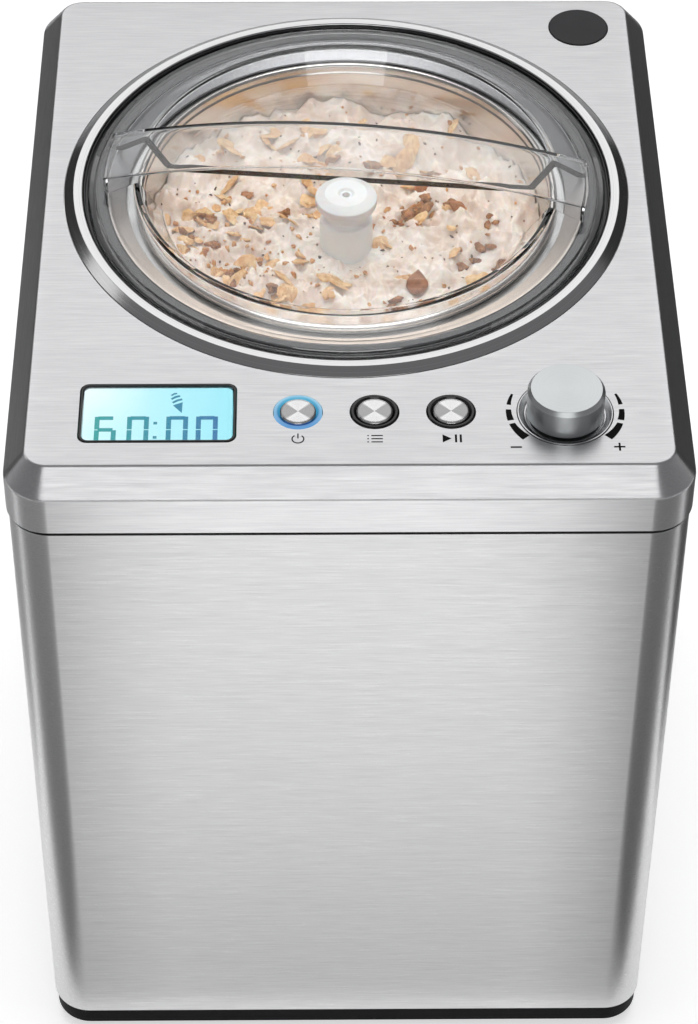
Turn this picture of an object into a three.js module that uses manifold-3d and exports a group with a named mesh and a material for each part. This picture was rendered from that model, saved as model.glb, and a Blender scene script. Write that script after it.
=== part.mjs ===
// Compressor ice cream maker with a removable bowl, a rotating paddle and a clear turn-to-lock lid.
// Millimetres, +Z up, +X right, +Y back. The origin is on the floor under the middle of the casing.
import * as THREE from 'three';
import { mergeVertices } from 'three/addons/utils/BufferGeometryUtils.js';
import Module from 'manifold-3d';

const wasm = await Module();
wasm.setup();

// ---------------------------------------------------------------- driving dimensions

const GAP = 0.3; // clearance between pieces that touch
const RUN = 0.5; // clearance around pieces that turn or slide
const FACETS = { large: 36, medium: 20, small: 12 }; // sides of a round piece, by its size

const CASE = {
  width: 260, // over the top cover
  depth: 305,
  corner: 17, // radius of the upright corners
  footHeight: 4,
  baseRim: 10.2,
  wrapHeight: 299.3,
  coverBand: 17,
  chamferDrop: 10.5,
  chamferInset: 8.4,
  topCorner: 9, // corner radius of the flat top
  wrapInset: 0.9, // wrap set back from the cover
  seam: 1.9, // open line between the wrap and the cover
  baseInset: 1.9, // base rim set back from the cover
  sheet: 1.2, // steel thickness
};

const BEZEL = { axisY: 17.6, outer: 114.2, inner: 106.7, crest: 110.4, height: 2.6, flange: 119 };

const LID = {
  rimGap: 1.8, // lid rim inside the bezel
  seat: 0.4, // underside above the top plate
  ridgeIn: 3.7, // ridge inside the rim
  ridgeHeight: 2.6,
  shoulderIn: 9.8, // foot of the shoulder inside the rim
  shoulderFootHeight: 2.4,
  shoulderTopOut: 1.7, // top of the shoulder outside the bowl wall
  shoulderHeight: 7.9,
  floorIn: 7, // edge of the pocket floors inside the bowl wall
  floorDepth: 5.9, // top of the floors below the top plate
  wall: 2,
  barWidth: 29.8,
  barIn: 6.9, // ends of the bar inside the rim
  barEndHeight: 8.8,
  barHeight: 21.5,
  barWall: 1.7,
  barEndWall: 2.2,
  turn: -5.6, // resting angle of the bar, degrees
};

const BOWL = { inner: 82, wall: 1.4, rimTop: -1, depth: 127, rimRoll: 3.4, floor: 2, hubRadius: 9, hubBore: 6.2,
  hubHeight: 36 };

const WELL = { wall: 1.5, flange: 1.5, flangeWidth: 19 };

const PADDLE = { column: 10.9, skirt: 13, skirtHeight: 40, neck: 8.6, head: 12.6, headTop: -2.6, headHeight: 6,
  columnTop: -16.5, bladeThick: 3.2, bladeHeight: 72, tipClear: 1.6, floorClear: 1.5, pinHole: 1.5 };

const SHAFT = { radius: 5, top: -62 };

const GEARS = { module: 2, output: 30, idlerSmall: 10, idlerBig: 30, pinion: 10, face: 8, backlash: 0.45,
  idlerBearing: 220, pinionBearing: 300 };

const GEARBOX = { bottom: 143, wall: 3, margin: 7, coverThick: 3, corner: 9 };

const BUTTONS = { y: -115.6, centre: 9.45, pitch: 28.85, cap: 6.9, ring: 9.15, proud: 0.8, ringProud: 0.5,
  travel: 1.2 };

const DISPLAY = { x: -72.2, y: -115.8, width: 56.2, depth: 29, frame: 1.1, corner: 2.5, thick: 2.2 };

const KNOB = { x: 81.35, y: -116, radius: 14.65, top: 12.2, chamfer: 1.1, dish: 18.1, dishDepth: 1.6, shaft: 3 };

const BADGE = { x: 100.5, y: 124.6, radius: 12.55, proud: 0.5 };

const BOARD = { drop: 19, thick: 1.6, y0: -140, y1: -98, x: 106 };

const COIL = { tube: 3, turns: 5, pitch: 18, bottom: 228, bond: 2.4 };

const JACKET = { wall: 18, bottom: 186, floor: 18 };

const REAR = { windowWidth: 200, marginBottom: 24, marginTop: 25, lap: 7, slots: 9, slotWidth: 70,
  slotHeight: 4, slotPitch: 9, slotDrop: 16 };

const COMPRESSOR = { x: -58, y: 80, radius: 50, bottom: 31, height: 100, grommet: 9 };

const FAN = { x: 80, y: 15, z: 95, size: 118, depth: 24, hub: 17, blades: 7, tip: 52 };

const CONDENSER = { x: 108, y: 15, z: 95, thick: 22, width: 150, height: 132, fins: 9 };

const MOTOR = { radius: 31, height: 74, axle: 4 };

const FLOOR_THICK = 3; // floor of the base tray

const BRACKET = { x: 14, width: 30, leg: 4, back: 34, foot: 8, shelf: 16, thick: 3 };

const DRIER = { x: 24, y: 122, radius: 9, bottom: 40, top: 122, neck: 10, pipe: 2.5 };

const POWER_BOARD = { left: -104, right: 6, bottom: 30, top: 132, setBack: 16, thick: 1.6 };

const TRANSFORMER = { x: -73, z: 64, width: 42, height: 40, proud: 30 };

const CORE = { x: -73, z: 64, width: 30, height: 52, proud: 26 };

const RELAY = { x: -31, z: 64, width: 18, height: 28, proud: 16 };

const CAPACITOR = { x: -14, z: 108, radius: 12, length: 34 };

const INLET = { x: 70, z: 62, width: 30, height: 24, depth: 22 };

/** Radius of a faceted bore that still clears a full circle. */
const roomy = (radius, facets = FACETS.large) => radius / Math.cos(Math.PI / facets);

// ---------------------------------------------------------------- levels and radii that follow

const zRimBottom = CASE.footHeight;
const zWrap = zRimBottom + CASE.baseRim;
const zCover = zWrap + CASE.wrapHeight;
const wrapTop = zCover - CASE.seam;
const zChamfer = zCover + CASE.coverBand;
const zPlate = zChamfer + CASE.chamferDrop;
const zUnder = zPlate - CASE.sheet;
const axis = new THREE.Vector2(0, BEZEL.axisY);
const lidRim = BEZEL.inner - LID.rimGap;
const lidShoulderFoot = lidRim - LID.shoulderIn;
const bowlOuter = BOWL.inner + BOWL.wall;
const wellInner = bowlOuter + RUN + GAP;
const wellOuter = wellInner + WELL.wall;
const zBowlFloor = zPlate + BOWL.rimTop - BOWL.depth;
const zWellFloor = zBowlFloor - BOWL.floor - 2 * RUN;
const zWellFlange = zPlate + BOWL.rimTop - BOWL.rimRoll - GAP;
const coilRadius = wellOuter + COIL.bond + COIL.tube;
const jacketInner = roomy(coilRadius + COIL.tube + GAP);
const jacketOuter = jacketInner + JACKET.wall;
const zBoard = zPlate - BOARD.drop;
const idlerReach = GEARS.module * (GEARS.output + GEARS.idlerSmall) / 2;
const pinionReach = GEARS.module * (GEARS.idlerBig + GEARS.pinion) / 2;
const idlerAxis = polar(axis, idlerReach, GEARS.idlerBearing);
const motorAxis = polar(idlerAxis, pinionReach, GEARS.pinionBearing);
const zGearLow = GEARBOX.bottom + GEARBOX.wall + RUN;
const zGearHigh = zGearLow + GEARS.face + 2 * RUN;
const zGearboxTop = zGearHigh + GEARS.face + RUN;

// ---------------------------------------------------------------- geometry helpers

function polar(from, reach, degrees) {
  const angle = THREE.MathUtils.degToRad(degrees);
  return new THREE.Vector2(from.x + reach * Math.cos(angle), from.y + reach * Math.sin(angle));
}

/** Shares the corners of a geometry, drops its zero-width faces and turns its faces out. */
function closed(geometry) {
  const bare = geometry.clone();
  bare.deleteAttribute('normal');
  bare.deleteAttribute('uv');
  const merged = mergeVertices(bare, 1e-4);
  const index = merged.index.array;
  const position = merged.attributes.position;
  const corners = [0, 1, 2].map(() => new THREE.Vector3());
  const kept = [];
  let volume = 0;
  for (let i = 0; i < index.length; i += 3) {
    const face = [index[i], index[i + 1], index[i + 2]];
    if (new Set(face).size < 3) continue;
    face.forEach((vertex, k) => corners[k].fromBufferAttribute(position, vertex));
    volume += corners[0].dot(corners[1].clone().cross(corners[2]));
    kept.push(face);
  }
  if (volume < 0) kept.forEach((face) => face.reverse());
  merged.setIndex(kept.flat());
  return merged;
}

function toSolid(geometry) {
  const { attributes, index } = closed(geometry);
  const vertProperties = new Float32Array(attributes.position.array);
  const triVerts = new Uint32Array(index.array);
  return new wasm.Manifold(new wasm.Mesh({ numProp: 3, vertProperties, triVerts }));
}

function toGeometry(solid) {
  const mesh = solid.getMesh();
  const geometry = new THREE.BufferGeometry();
  geometry.setAttribute('position', new THREE.BufferAttribute(mesh.vertProperties, 3));
  geometry.setIndex(new THREE.BufferAttribute(mesh.triVerts, 1));
  return geometry;
}

const cut = (body, ...tools) => toGeometry(
  tools.reduce((rest, tool) => rest.subtract(toSolid(tool)), toSolid(body)));
const join = (...bodies) => toGeometry(bodies.map(toSolid).reduce((sum, body) => sum.add(body)));
const common = (a, b) => toGeometry(toSolid(a).intersect(toSolid(b)));

/** Turned solid about an upright axis. The profile is a list of [radius, z]. */
function turned(profile, centre = axis, segments = FACETS.large) {
  const points = profile.map(([radius, z]) => new THREE.Vector2(radius, z));
  const ends = [points[0], points[points.length - 1]];
  if (ends.some((end) => end.x > 0)) points.push(points[0].clone());
  return closed(new THREE.LatheGeometry(points, segments).rotateX(Math.PI / 2).translate(centre.x, centre.y, 0));
}

function disc(radius, z0, z1, centre = axis, segments = FACETS.medium) {
  return turned([[0, z0], [radius, z0], [radius, z1], [0, z1]], centre, segments);
}

function ring(inner, outer, z0, z1, centre = axis, segments = FACETS.large) {
  return turned([[inner, z0], [outer, z0], [outer, z1], [inner, z1]], centre, segments);
}

/** Axis-aligned block between two corners. */
function block(x0, y0, z0, x1, y1, z1) {
  const box = new THREE.BoxGeometry(x1 - x0, y1 - y0, z1 - z0);
  return box.translate((x0 + x1) / 2, (y0 + y1) / 2, (z0 + z1) / 2);
}

/** Block by its middle and its sizes. */
function slab(x, y, z, width, depth, height) {
  return new THREE.BoxGeometry(width, depth, height).translate(x, y, z);
}

/** Corner points of a rounded rectangle, the same number for every size. */
function roundedPoints(width, depth, radius, x = 0, y = 0, arcs = 4) {
  const points = [];
  for (let corner = 0; corner < 4; corner += 1) {
    const cx = (width / 2 - radius) * (corner === 0 || corner === 3 ? 1 : -1);
    const cy = (depth / 2 - radius) * (corner < 2 ? 1 : -1);
    for (let step = 0; step <= arcs; step += 1) {
      const angle = (Math.PI / 2) * (corner + step / arcs);
      points.push(new THREE.Vector2(x + cx + radius * Math.cos(angle), y + cy + radius * Math.sin(angle)));
    }
  }
  return points;
}

function prism(points, z0, z1) {
  const shape = new THREE.Shape(points);
  return new THREE.ExtrudeGeometry(shape, { depth: z1 - z0, bevelEnabled: false }).translate(0, 0, z0);
}

function roundedPrism(width, depth, radius, z0, z1, x = 0, y = 0, arcs = 4) {
  return prism(roundedPoints(width, depth, radius, x, y, arcs), z0, z1);
}

/** Solid through rounded rectangles, each a list of width, depth, corner radius and z. */
function stack(sections) {
  const rings = sections.map(([width, depth, radius]) => roundedPoints(width, depth, radius));
  const count = rings[0].length;
  const positions = [];
  const faces = [];
  rings.forEach((points, level) => points.forEach((p) => positions.push(p.x, p.y, sections[level][3])));
  for (let level = 0; level + 1 < rings.length; level += 1) {
    for (let i = 0; i < count; i += 1) {
      const a = level * count + i;
      const b = level * count + (i + 1) % count;
      faces.push(a, b, b + count, a, b + count, a + count);
    }
  }
  const last = (rings.length - 1) * count;
  for (let i = 1; i + 1 < count; i += 1) {
    faces.push(0, i + 1, i, last, last + i, last + i + 1);
  }
  const geometry = new THREE.BufferGeometry();
  geometry.setAttribute('position', new THREE.Float32BufferAttribute(positions, 3));
  geometry.setIndex(faces);
  return closed(geometry);
}

/** Round tube that follows a smooth curve through a list of points. */
function pipe(points, radius, steps, sides = 8) {
  const path = new THREE.CatmullRomCurve3(points.map((p) => new THREE.Vector3(...p)), false, 'centripetal');
  const section = new THREE.Shape();
  for (let i = 0; i < sides; i += 1) {
    const angle = 2 * Math.PI * i / sides;
    const place = [radius * Math.cos(angle), radius * Math.sin(angle)];
    if (i === 0) section.moveTo(...place);
    else section.lineTo(...place);
  }
  return closed(new THREE.ExtrudeGeometry(section, { extrudePath: path, steps, bevelEnabled: false }));
}

/** Involute gear outline with a tooth centred on the given bearing. */
function gearOutline(teeth, bearing, centre) {
  const pressure = THREE.MathUtils.degToRad(25);
  const involute = (angle) => Math.tan(angle) - angle;
  const pitch = teeth * GEARS.module / 2;
  const base = pitch * Math.cos(pressure);
  const tip = pitch + 0.85 * GEARS.module;
  const root = pitch - 1.15 * GEARS.module;
  const start = Math.max(base, root + 0.2);
  const half = Math.PI / (2 * teeth) - GEARS.backlash / (4 * pitch);
  const flank = [0, 1].map((share) => {
    const radius = start + share * (tip - start);
    return [radius, half + involute(pressure) - involute(Math.acos(base / radius))];
  });
  const rising = [[root, flank[0][1]], ...flank];
  const tooth = [...rising.map(([r, a]) => [r, -a]), ...rising.reverse()];
  const points = [];
  for (let i = 0; i < teeth; i += 1) {
    const middle = bearing + 2 * Math.PI * i / teeth;
    tooth.forEach(([radius, offset]) => {
      const angle = middle + offset;
      points.push(new THREE.Vector2(centre.x + radius * Math.cos(angle), centre.y + radius * Math.sin(angle)));
    });
  }
  return points;
}

function gear(teeth, bearing, centre, z0) {
  return prism(gearOutline(teeth, bearing, centre), z0, z0 + GEARS.face);
}

// ---------------------------------------------------------------- materials and assembly

const finish = {
  steel: new THREE.MeshStandardMaterial({ color: 0xc9c9c7, roughness: 0.35, metalness: 1 }),
  polished: new THREE.MeshStandardMaterial({ color: 0xd8d8d6, roughness: 0.18, metalness: 1 }),
  zinc: new THREE.MeshStandardMaterial({ color: 0x9c9e9f, roughness: 0.5, metalness: 1 }),
  aluminium: new THREE.MeshStandardMaterial({ color: 0xbfc0c2, roughness: 0.4, metalness: 1 }),
  copper: new THREE.MeshStandardMaterial({ color: 0xb87a55, roughness: 0.4, metalness: 1 }),
  black: new THREE.MeshStandardMaterial({ color: 0x17181a, roughness: 0.45, metalness: 0 }),
  painted: new THREE.MeshStandardMaterial({ color: 0x1d1e20, roughness: 0.5, metalness: 0.2 }),
  rubber: new THREE.MeshStandardMaterial({ color: 0x1b1b1b, roughness: 0.9, metalness: 0 }),
  clear: new THREE.MeshStandardMaterial({ color: 0xeef2f4, roughness: 0.05, transparent: true, opacity: 0.35 }),
  silicone: new THREE.MeshStandardMaterial({ color: 0xd9dcdc, roughness: 0.6, metalness: 0 }),
  white: new THREE.MeshStandardMaterial({ color: 0xe9eaec, roughness: 0.45, metalness: 0 }),
  foam: new THREE.MeshStandardMaterial({ color: 0xe6dfc8, roughness: 0.95, metalness: 0 }),
  lcd: new THREE.MeshStandardMaterial({ color: 0x8fdff0, roughness: 0.4, metalness: 0 }),
  board: new THREE.MeshStandardMaterial({ color: 0x1f5a3a, roughness: 0.6, metalness: 0 }),
  blue: new THREE.MeshStandardMaterial({ color: 0x6fb4ff, roughness: 0.3, metalness: 0 }),
  badge: new THREE.MeshStandardMaterial({ color: 0x3b3c3f, roughness: 0.4, metalness: 0 }),
};

const machine = new THREE.Group();

function add(name, geometry, material) {
  const mesh = new THREE.Mesh(closed(geometry), material);
  mesh.name = name;
  machine.add(mesh);
}

// ---------------------------------------------------------------- casing

function addCasing() {
  const { width, depth, corner, sheet } = CASE;
  const wrapW = width - 2 * CASE.wrapInset;
  const wrapD = depth - 2 * CASE.wrapInset;
  const wrapR = corner - CASE.wrapInset;
  const baseW = width - 2 * CASE.baseInset;
  const baseD = depth - 2 * CASE.baseInset;
  const lipInset = CASE.wrapInset + sheet + GAP;
  const section = (inset, z) => [width - 2 * inset, depth - 2 * inset, corner - inset, z];

  // base tray: floor, rim and a lip that the wrap slips over
  const trayWall = 2.5;
  const lipTop = zWrap + 9;
  const tray = stack([section(CASE.baseInset, zRimBottom), section(CASE.baseInset, zWrap - GAP),
    section(lipInset, zWrap - GAP), section(lipInset, lipTop)]);
  const inside = roundedPrism(width - 2 * (lipInset + trayWall), depth - 2 * (lipInset + trayWall),
    corner - lipInset - trayWall, zRimBottom + FLOOR_THICK, lipTop + 1);
  const vents = [];
  for (let i = -4; i <= 4; i += 1) {
    vents.push(slab(CONDENSER.x - 58, i * 12, zRimBottom + 1.5, 46, 5, 8));
  }
  add('base_tray', cut(tray, inside, ...vents), finish.black);

  // feet
  const footX = baseW / 2 - 30;
  const footY = baseD / 2 - 30;
  for (const [name, sx, sy] of [['front_left', -1, -1], ['front_right', 1, -1], ['rear_left', -1, 1],
    ['rear_right', 1, 1]]) {
    const place = new THREE.Vector2(sx * footX, sy * footY);
    add(`foot_${name}`, turned([[0, 0], [8.5, 0], [9.5, 1], [10, zRimBottom - GAP], [0, zRimBottom - GAP]],
      place, FACETS.small), finish.rubber);
  }

  // wrap: one bent sheet round all four sides with a window for the rear panel
  const shell = cut(roundedPrism(wrapW, wrapD, wrapR, zWrap, wrapTop),
    roundedPrism(wrapW - 2 * sheet, wrapD - 2 * sheet, wrapR - sheet, zWrap - 1, wrapTop + 1));
  const windowLow = zWrap + REAR.marginBottom;
  const windowTop = wrapTop - REAR.marginTop;
  const panelZ = (windowLow + windowTop) / 2;
  const windowHeight = windowTop - windowLow;
  add('body_wrap', cut(shell, slab(0, wrapD / 2, panelZ, REAR.windowWidth, 6, windowHeight)), finish.steel);

  // rear panel: lies behind the window, with a raised field, vents and the inlet opening
  const panelBack = wrapD / 2 - sheet - GAP;
  const panel = join(
    slab(0, panelBack - 1, panelZ, REAR.windowWidth + 2 * REAR.lap, 2, windowHeight + 2 * REAR.lap),
    slab(0, panelBack - 0.4, panelZ, REAR.windowWidth - 2 * GAP, 2.4, windowHeight - 2 * GAP));
  const slots = [];
  for (let row = 0; row < REAR.slots; row += 1) {
    for (const side of [-1, 1]) {
      const slotZ = windowTop - REAR.slotDrop - row * REAR.slotPitch;
      slots.push(slab(side * (REAR.slotWidth / 2 + 8), panelBack, slotZ, REAR.slotWidth, 12, REAR.slotHeight));
    }
  }
  const hole = slab(INLET.x, panelBack, INLET.z, INLET.width + 2 * GAP, 12, INLET.height + 2 * GAP);
  add('rear_panel', cut(panel, hole, ...slots), finish.painted);

  // power inlet: a recessed socket with three blades
  const faceY = panelBack + 0.8;
  const socket = slab(INLET.x, faceY - INLET.depth / 2, INLET.z, INLET.width, INLET.depth, INLET.height);
  const recess = slab(INLET.x, faceY - 7.5, INLET.z, INLET.width - 6, 17, INLET.height - 7);
  const blades = [-7, 0, 7].map((dx) => slab(INLET.x + dx, faceY - 11, INLET.z + (dx === 0 ? 2 : -2), 2, 14, 4));
  add('power_inlet', join(cut(socket, recess), ...blades), finish.black);

  // inner frame that joins the wrap and the cover
  const frameInset = lipInset;
  const frameBottom = wrapTop - 12;
  const frameTop = zCover + 8;
  add('top_frame', cut(
    roundedPrism(width - 2 * frameInset, depth - 2 * frameInset, corner - frameInset, frameBottom, frameTop),
    roundedPrism(width - 2 * frameInset - 5, depth - 2 * frameInset - 5, corner - frameInset - 2.5,
      frameBottom - 1, frameTop + 1)), finish.black);

  // top cover: band, chamfer and plate, one drawn sheet
  const topW = width - 2 * CASE.chamferInset;
  const topD = depth - 2 * CASE.chamferInset;
  const outside = stack([section(0, zCover), section(0, zChamfer), [topW, topD, CASE.topCorner, zPlate]]);
  const hollow = stack([section(sheet, zCover - 1), section(sheet, zChamfer),
    [topW - 2 * sheet, topD - 2 * sheet, CASE.topCorner - sheet, zUnder]]);
  const displayHole = roundedPrism(DISPLAY.width + 2 * DISPLAY.frame + 4 * GAP,
    DISPLAY.depth + 2 * DISPLAY.frame + 4 * GAP, DISPLAY.corner + DISPLAY.frame, zUnder - 2, zPlate + 2,
    DISPLAY.x, DISPLAY.y, 3);
  const round = (radius, centre, segments) => disc(radius + GAP, zUnder - 2, zPlate + 2, centre, segments);
  const holes = [round(BEZEL.outer, axis, FACETS.large), round(KNOB.dish, new THREE.Vector2(KNOB.x, KNOB.y)),
    round(BADGE.radius, new THREE.Vector2(BADGE.x, BADGE.y))];
  for (const { centre } of buttonList()) holes.push(round(BUTTONS.ring, centre));
  add('top_cover', cut(outside, hollow, displayHole, ...holes), finish.steel);

  const badgeAt = new THREE.Vector2(BADGE.x, BADGE.y);
  add('blank_badge', disc(BADGE.radius, zUnder, zPlate + BADGE.proud, badgeAt), finish.badge);
}

// ---------------------------------------------------------------- rim, well and cooling coil

function addWell() {
  const b = BEZEL;
  const below = zUnder - GAP;
  add('rim_bezel', turned([[b.inner, below - 2], [b.flange, below - 2], [b.flange, below], [b.outer, below],
    [b.outer, zPlate], [b.crest, zPlate + b.height], [b.inner, zPlate + b.height]]), finish.polished);

  // black trim ring that the lid rests on
  const trimOuter = b.inner - GAP;
  const trimInner = wellInner + 4.4;
  const trimBottom = zWellFlange + GAP;
  const ledge = zPlate + LID.seat - GAP;
  add('well_trim', turned([[trimInner, trimBottom], [trimOuter, trimBottom], [trimOuter, zPlate + 1.8],
    [lidRim + GAP + RUN, zPlate + 1.8], [lidRim + GAP + RUN, ledge], [lidShoulderFoot - 3, ledge],
    [trimInner, zPlate - 1.5]]), finish.black);

  // cooling well: a deep cup with a flange and a bore for the shaft seal
  const well = turned([[SHAFT.radius + 4, zWellFloor - WELL.wall], [wellOuter, zWellFloor - WELL.wall],
    [wellOuter, zWellFlange - WELL.flange], [wellInner + WELL.flangeWidth, zWellFlange - WELL.flange],
    [wellInner + WELL.flangeWidth, zWellFlange], [wellInner, zWellFlange], [wellInner, zWellFloor],
    [SHAFT.radius + 4, zWellFloor]]);
  add('cooling_well', well, finish.aluminium);

  const sealInner = SHAFT.radius + RUN;
  const sealOuter = SHAFT.radius + 4 - GAP;
  add('shaft_seal', turned([[sealInner, zWellFloor - 8], [sealOuter, zWellFloor - 8],
    [sealOuter, zWellFloor - 0.2], [sealInner, zWellFloor - 0.2]], axis, FACETS.small), finish.rubber);

  // evaporator coil: round the well, with a straight tail at each end
  const turns = [];
  const stepsPerTurn = 14;
  const first = Math.PI / 2;
  const place = (step) => {
    const angle = first + 2 * Math.PI * step / stepsPerTurn;
    return [axis.x + coilRadius * Math.cos(angle), axis.y + coilRadius * Math.sin(angle),
      COIL.bottom + COIL.pitch * step / stepsPerTurn];
  };
  for (let step = 0; step <= COIL.turns * stepsPerTurn; step += 1) turns.push(place(step));
  add('evaporator_coil', pipe(turns, COIL.tube, COIL.turns * stepsPerTurn, 6), finish.copper);

  const jacketTop = zWellFlange - WELL.flange - GAP;
  const bush = SHAFT.radius + 9;
  add('insulation_jacket', turned([[bush, JACKET.bottom], [jacketOuter, JACKET.bottom], [jacketOuter, jacketTop],
    [jacketInner, jacketTop], [jacketInner, JACKET.bottom + JACKET.floor], [bush, JACKET.bottom + JACKET.floor]]),
  finish.foam);
}

// ---------------------------------------------------------------- bowl and paddle

function addBowl() {
  const top = zPlate + BOWL.rimTop;
  const rollOuter = BOWL.inner + BOWL.rimRoll;
  const rollBottom = top - BOWL.rimRoll;
  const corner = 8;
  const bottom = zBowlFloor - BOWL.floor;
  const hubTop = zBowlFloor + BOWL.hubHeight;
  add('bowl', turned([[BOWL.hubBore, bottom], [bowlOuter - corner, bottom], [bowlOuter - 0.3 * corner,
    bottom + 0.3 * corner], [bowlOuter, bottom + corner], [bowlOuter, rollBottom], [rollOuter, rollBottom],
  [rollOuter, top - 1.2], [rollOuter - 1.2, top], [BOWL.inner + 0.8, top], [BOWL.inner, top - 1],
  [BOWL.inner, bottom + corner + 1], [BOWL.inner - 0.3 * corner, bottom + 0.3 * corner + 2],
  [BOWL.inner - corner, zBowlFloor], [BOWL.hubRadius + 3, zBowlFloor], [BOWL.hubRadius, zBowlFloor + 4],
  [BOWL.hubRadius - 1, hubTop], [BOWL.hubBore, hubTop]]), finish.aluminium);

  const p = PADDLE;
  const foot = zBowlFloor + p.floorClear;
  const skirtTop = foot + p.skirtHeight;
  const socketTop = zPlate + SHAFT.top + 1;
  const boreTop = hubTop + RUN;
  const columnTop = zPlate + p.columnTop;
  const headTop = zPlate + p.headTop;
  const headBottom = headTop - p.headHeight;
  const column = turned([[0, foot], [p.skirt, foot], [p.skirt, skirtTop - 4], [p.column, skirtTop],
    [p.column, columnTop], [p.neck, columnTop], [p.neck, headBottom], [p.head - 1.6, headBottom],
    [p.head, headBottom + 2.2], [p.head - 0.8, headTop - 1.2], [p.head - 4, headTop], [0, headTop]],
  axis, FACETS.medium);
  const hubBore = disc(BOWL.hubRadius + GAP + RUN, foot - 1, boreTop, axis, FACETS.medium);
  const footBore = turned([[0, foot - 1], [BOWL.hubRadius + 3.2, foot - 1], [BOWL.hubRadius + 3.2, foot + 1],
    [BOWL.hubRadius + RUN, foot + 5], [0, foot + 5]], axis, FACETS.medium);
  const socket = turned([[0, boreTop - 1], [SHAFT.radius + GAP + 0.2, boreTop - 1],
    [SHAFT.radius + GAP + 0.2, socketTop], [0, socketTop]], axis, 6);
  const pinHole = disc(p.pinHole, headTop - 4, headTop + 1, axis, FACETS.small);
  const reach = BOWL.inner - p.tipClear;
  const arms = [];
  for (const side of [0, 180]) {
    const arm = block(p.column - 2, -p.bladeThick / 2, foot, reach - 9, p.bladeThick / 2, foot + 14);
    const blade = block(reach - 12, -p.bladeThick / 2, foot + 6, reach, p.bladeThick / 2, foot + p.bladeHeight);
    const brace = block(p.column - 2, -p.bladeThick / 2, foot + p.bladeHeight - 12, reach - 6, p.bladeThick / 2,
      foot + p.bladeHeight - 4);
    for (const piece of [arm, blade, brace]) {
      piece.rotateZ(THREE.MathUtils.degToRad(side + 35)).translate(axis.x, axis.y, 0);
      arms.push(piece);
    }
  }
  add('paddle', cut(join(column, ...arms), hubBore, footBore, socket, pinHole), finish.white);
}

// ---------------------------------------------------------------- lid

function addLid() {
  const l = LID;
  const z = (height) => zPlate + height;
  const under = l.shoulderHeight - l.wall * 1.2;
  const floorUnder = -l.floorDepth - l.wall;
  const seatZ = z(l.seat);
  const floorEdge = BOWL.inner - l.floorIn;
  const shoulderTop = BOWL.inner + l.shoulderTopOut;
  const ridge = lidRim - l.ridgeIn;
  const wallFoot = floorEdge + 1.5;
  const wallHead = shoulderTop + 1.3;
  const dish = turned([[0, z(floorUnder)], [wallFoot, z(floorUnder)], [wallHead, z(under)],
    [lidShoulderFoot - 1, seatZ], [lidRim, seatZ], [lidRim, z(1.2)], [lidRim - 0.6, z(1.6)],
    [ridge, z(l.ridgeHeight)], [lidShoulderFoot, z(l.shoulderFootHeight)],
    [shoulderTop + 1, z(l.shoulderHeight)], [shoulderTop, z(l.shoulderHeight)], [floorEdge, z(-l.floorDepth)],
    [0, z(-l.floorDepth)]]);

  const barEnd = lidRim - l.barIn;

  /** Upright slice with an arched top, its ends on a circle, standing from a given level. */
  const arched = (halfWidth, endRadius, drop, bottom) => {
    const rise = l.barHeight - l.barEndHeight;
    const radius = (barEnd ** 2 + rise ** 2) / (2 * rise);
    const reach = endRadius + 2;
    const points = [new THREE.Vector2(-reach, bottom), new THREE.Vector2(reach, bottom)];
    const arcs = 10;
    for (let i = 0; i <= arcs; i += 1) {
      const x = reach * (1 - 2 * i / arcs);
      points.push(new THREE.Vector2(x, z(l.barHeight) - drop - radius + Math.sqrt(radius ** 2 - x ** 2)));
    }
    const outline = new THREE.Shape(points);
    const slice = new THREE.ExtrudeGeometry(outline, { depth: 2 * halfWidth, bevelEnabled: false });
    slice.rotateX(Math.PI / 2).translate(axis.x, axis.y + halfWidth, 0);
    return common(slice, disc(endRadius, bottom - 1, z(l.barHeight) + 1));
  };
  const above = turned([[0, z(floorUnder)], [wallFoot, z(floorUnder)], [wallHead, z(under)],
    [lidShoulderFoot - 1, seatZ], [lidRim - 4, seatZ], [lidRim - 4, z(l.barHeight + 2)],
    [0, z(l.barHeight + 2)]], axis, FACETS.large);
  const bar = common(arched(l.barWidth / 2, barEnd, 0, z(floorUnder) - 2), above);
  const hollow = arched(l.barWidth / 2 - l.barWall, barEnd - l.barEndWall, l.barWall, z(floorUnder) - 3);
  const sealInner = lidShoulderFoot + 2.6;
  const groove = ring(sealInner - RUN, roomy(sealInner + 3 + GAP), seatZ - 1, seatZ + 1.1);
  const lid = cut(join(dish, bar), hollow, groove);
  lid.translate(-axis.x, -axis.y, 0).rotateZ(THREE.MathUtils.degToRad(l.turn)).translate(axis.x, axis.y, 0);
  add('lid', lid, finish.clear);
  add('lid_seal', ring(sealInner, sealInner + 3, seatZ - 0.05, seatZ + 0.8), finish.silicone);
}

// ---------------------------------------------------------------- controls

function buttonList() {
  return ['power', 'menu', 'start'].map((name, i) => ({
    name,
    centre: new THREE.Vector2(BUTTONS.centre + (i - 1) * BUTTONS.pitch, BUTTONS.y),
  }));
}

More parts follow.
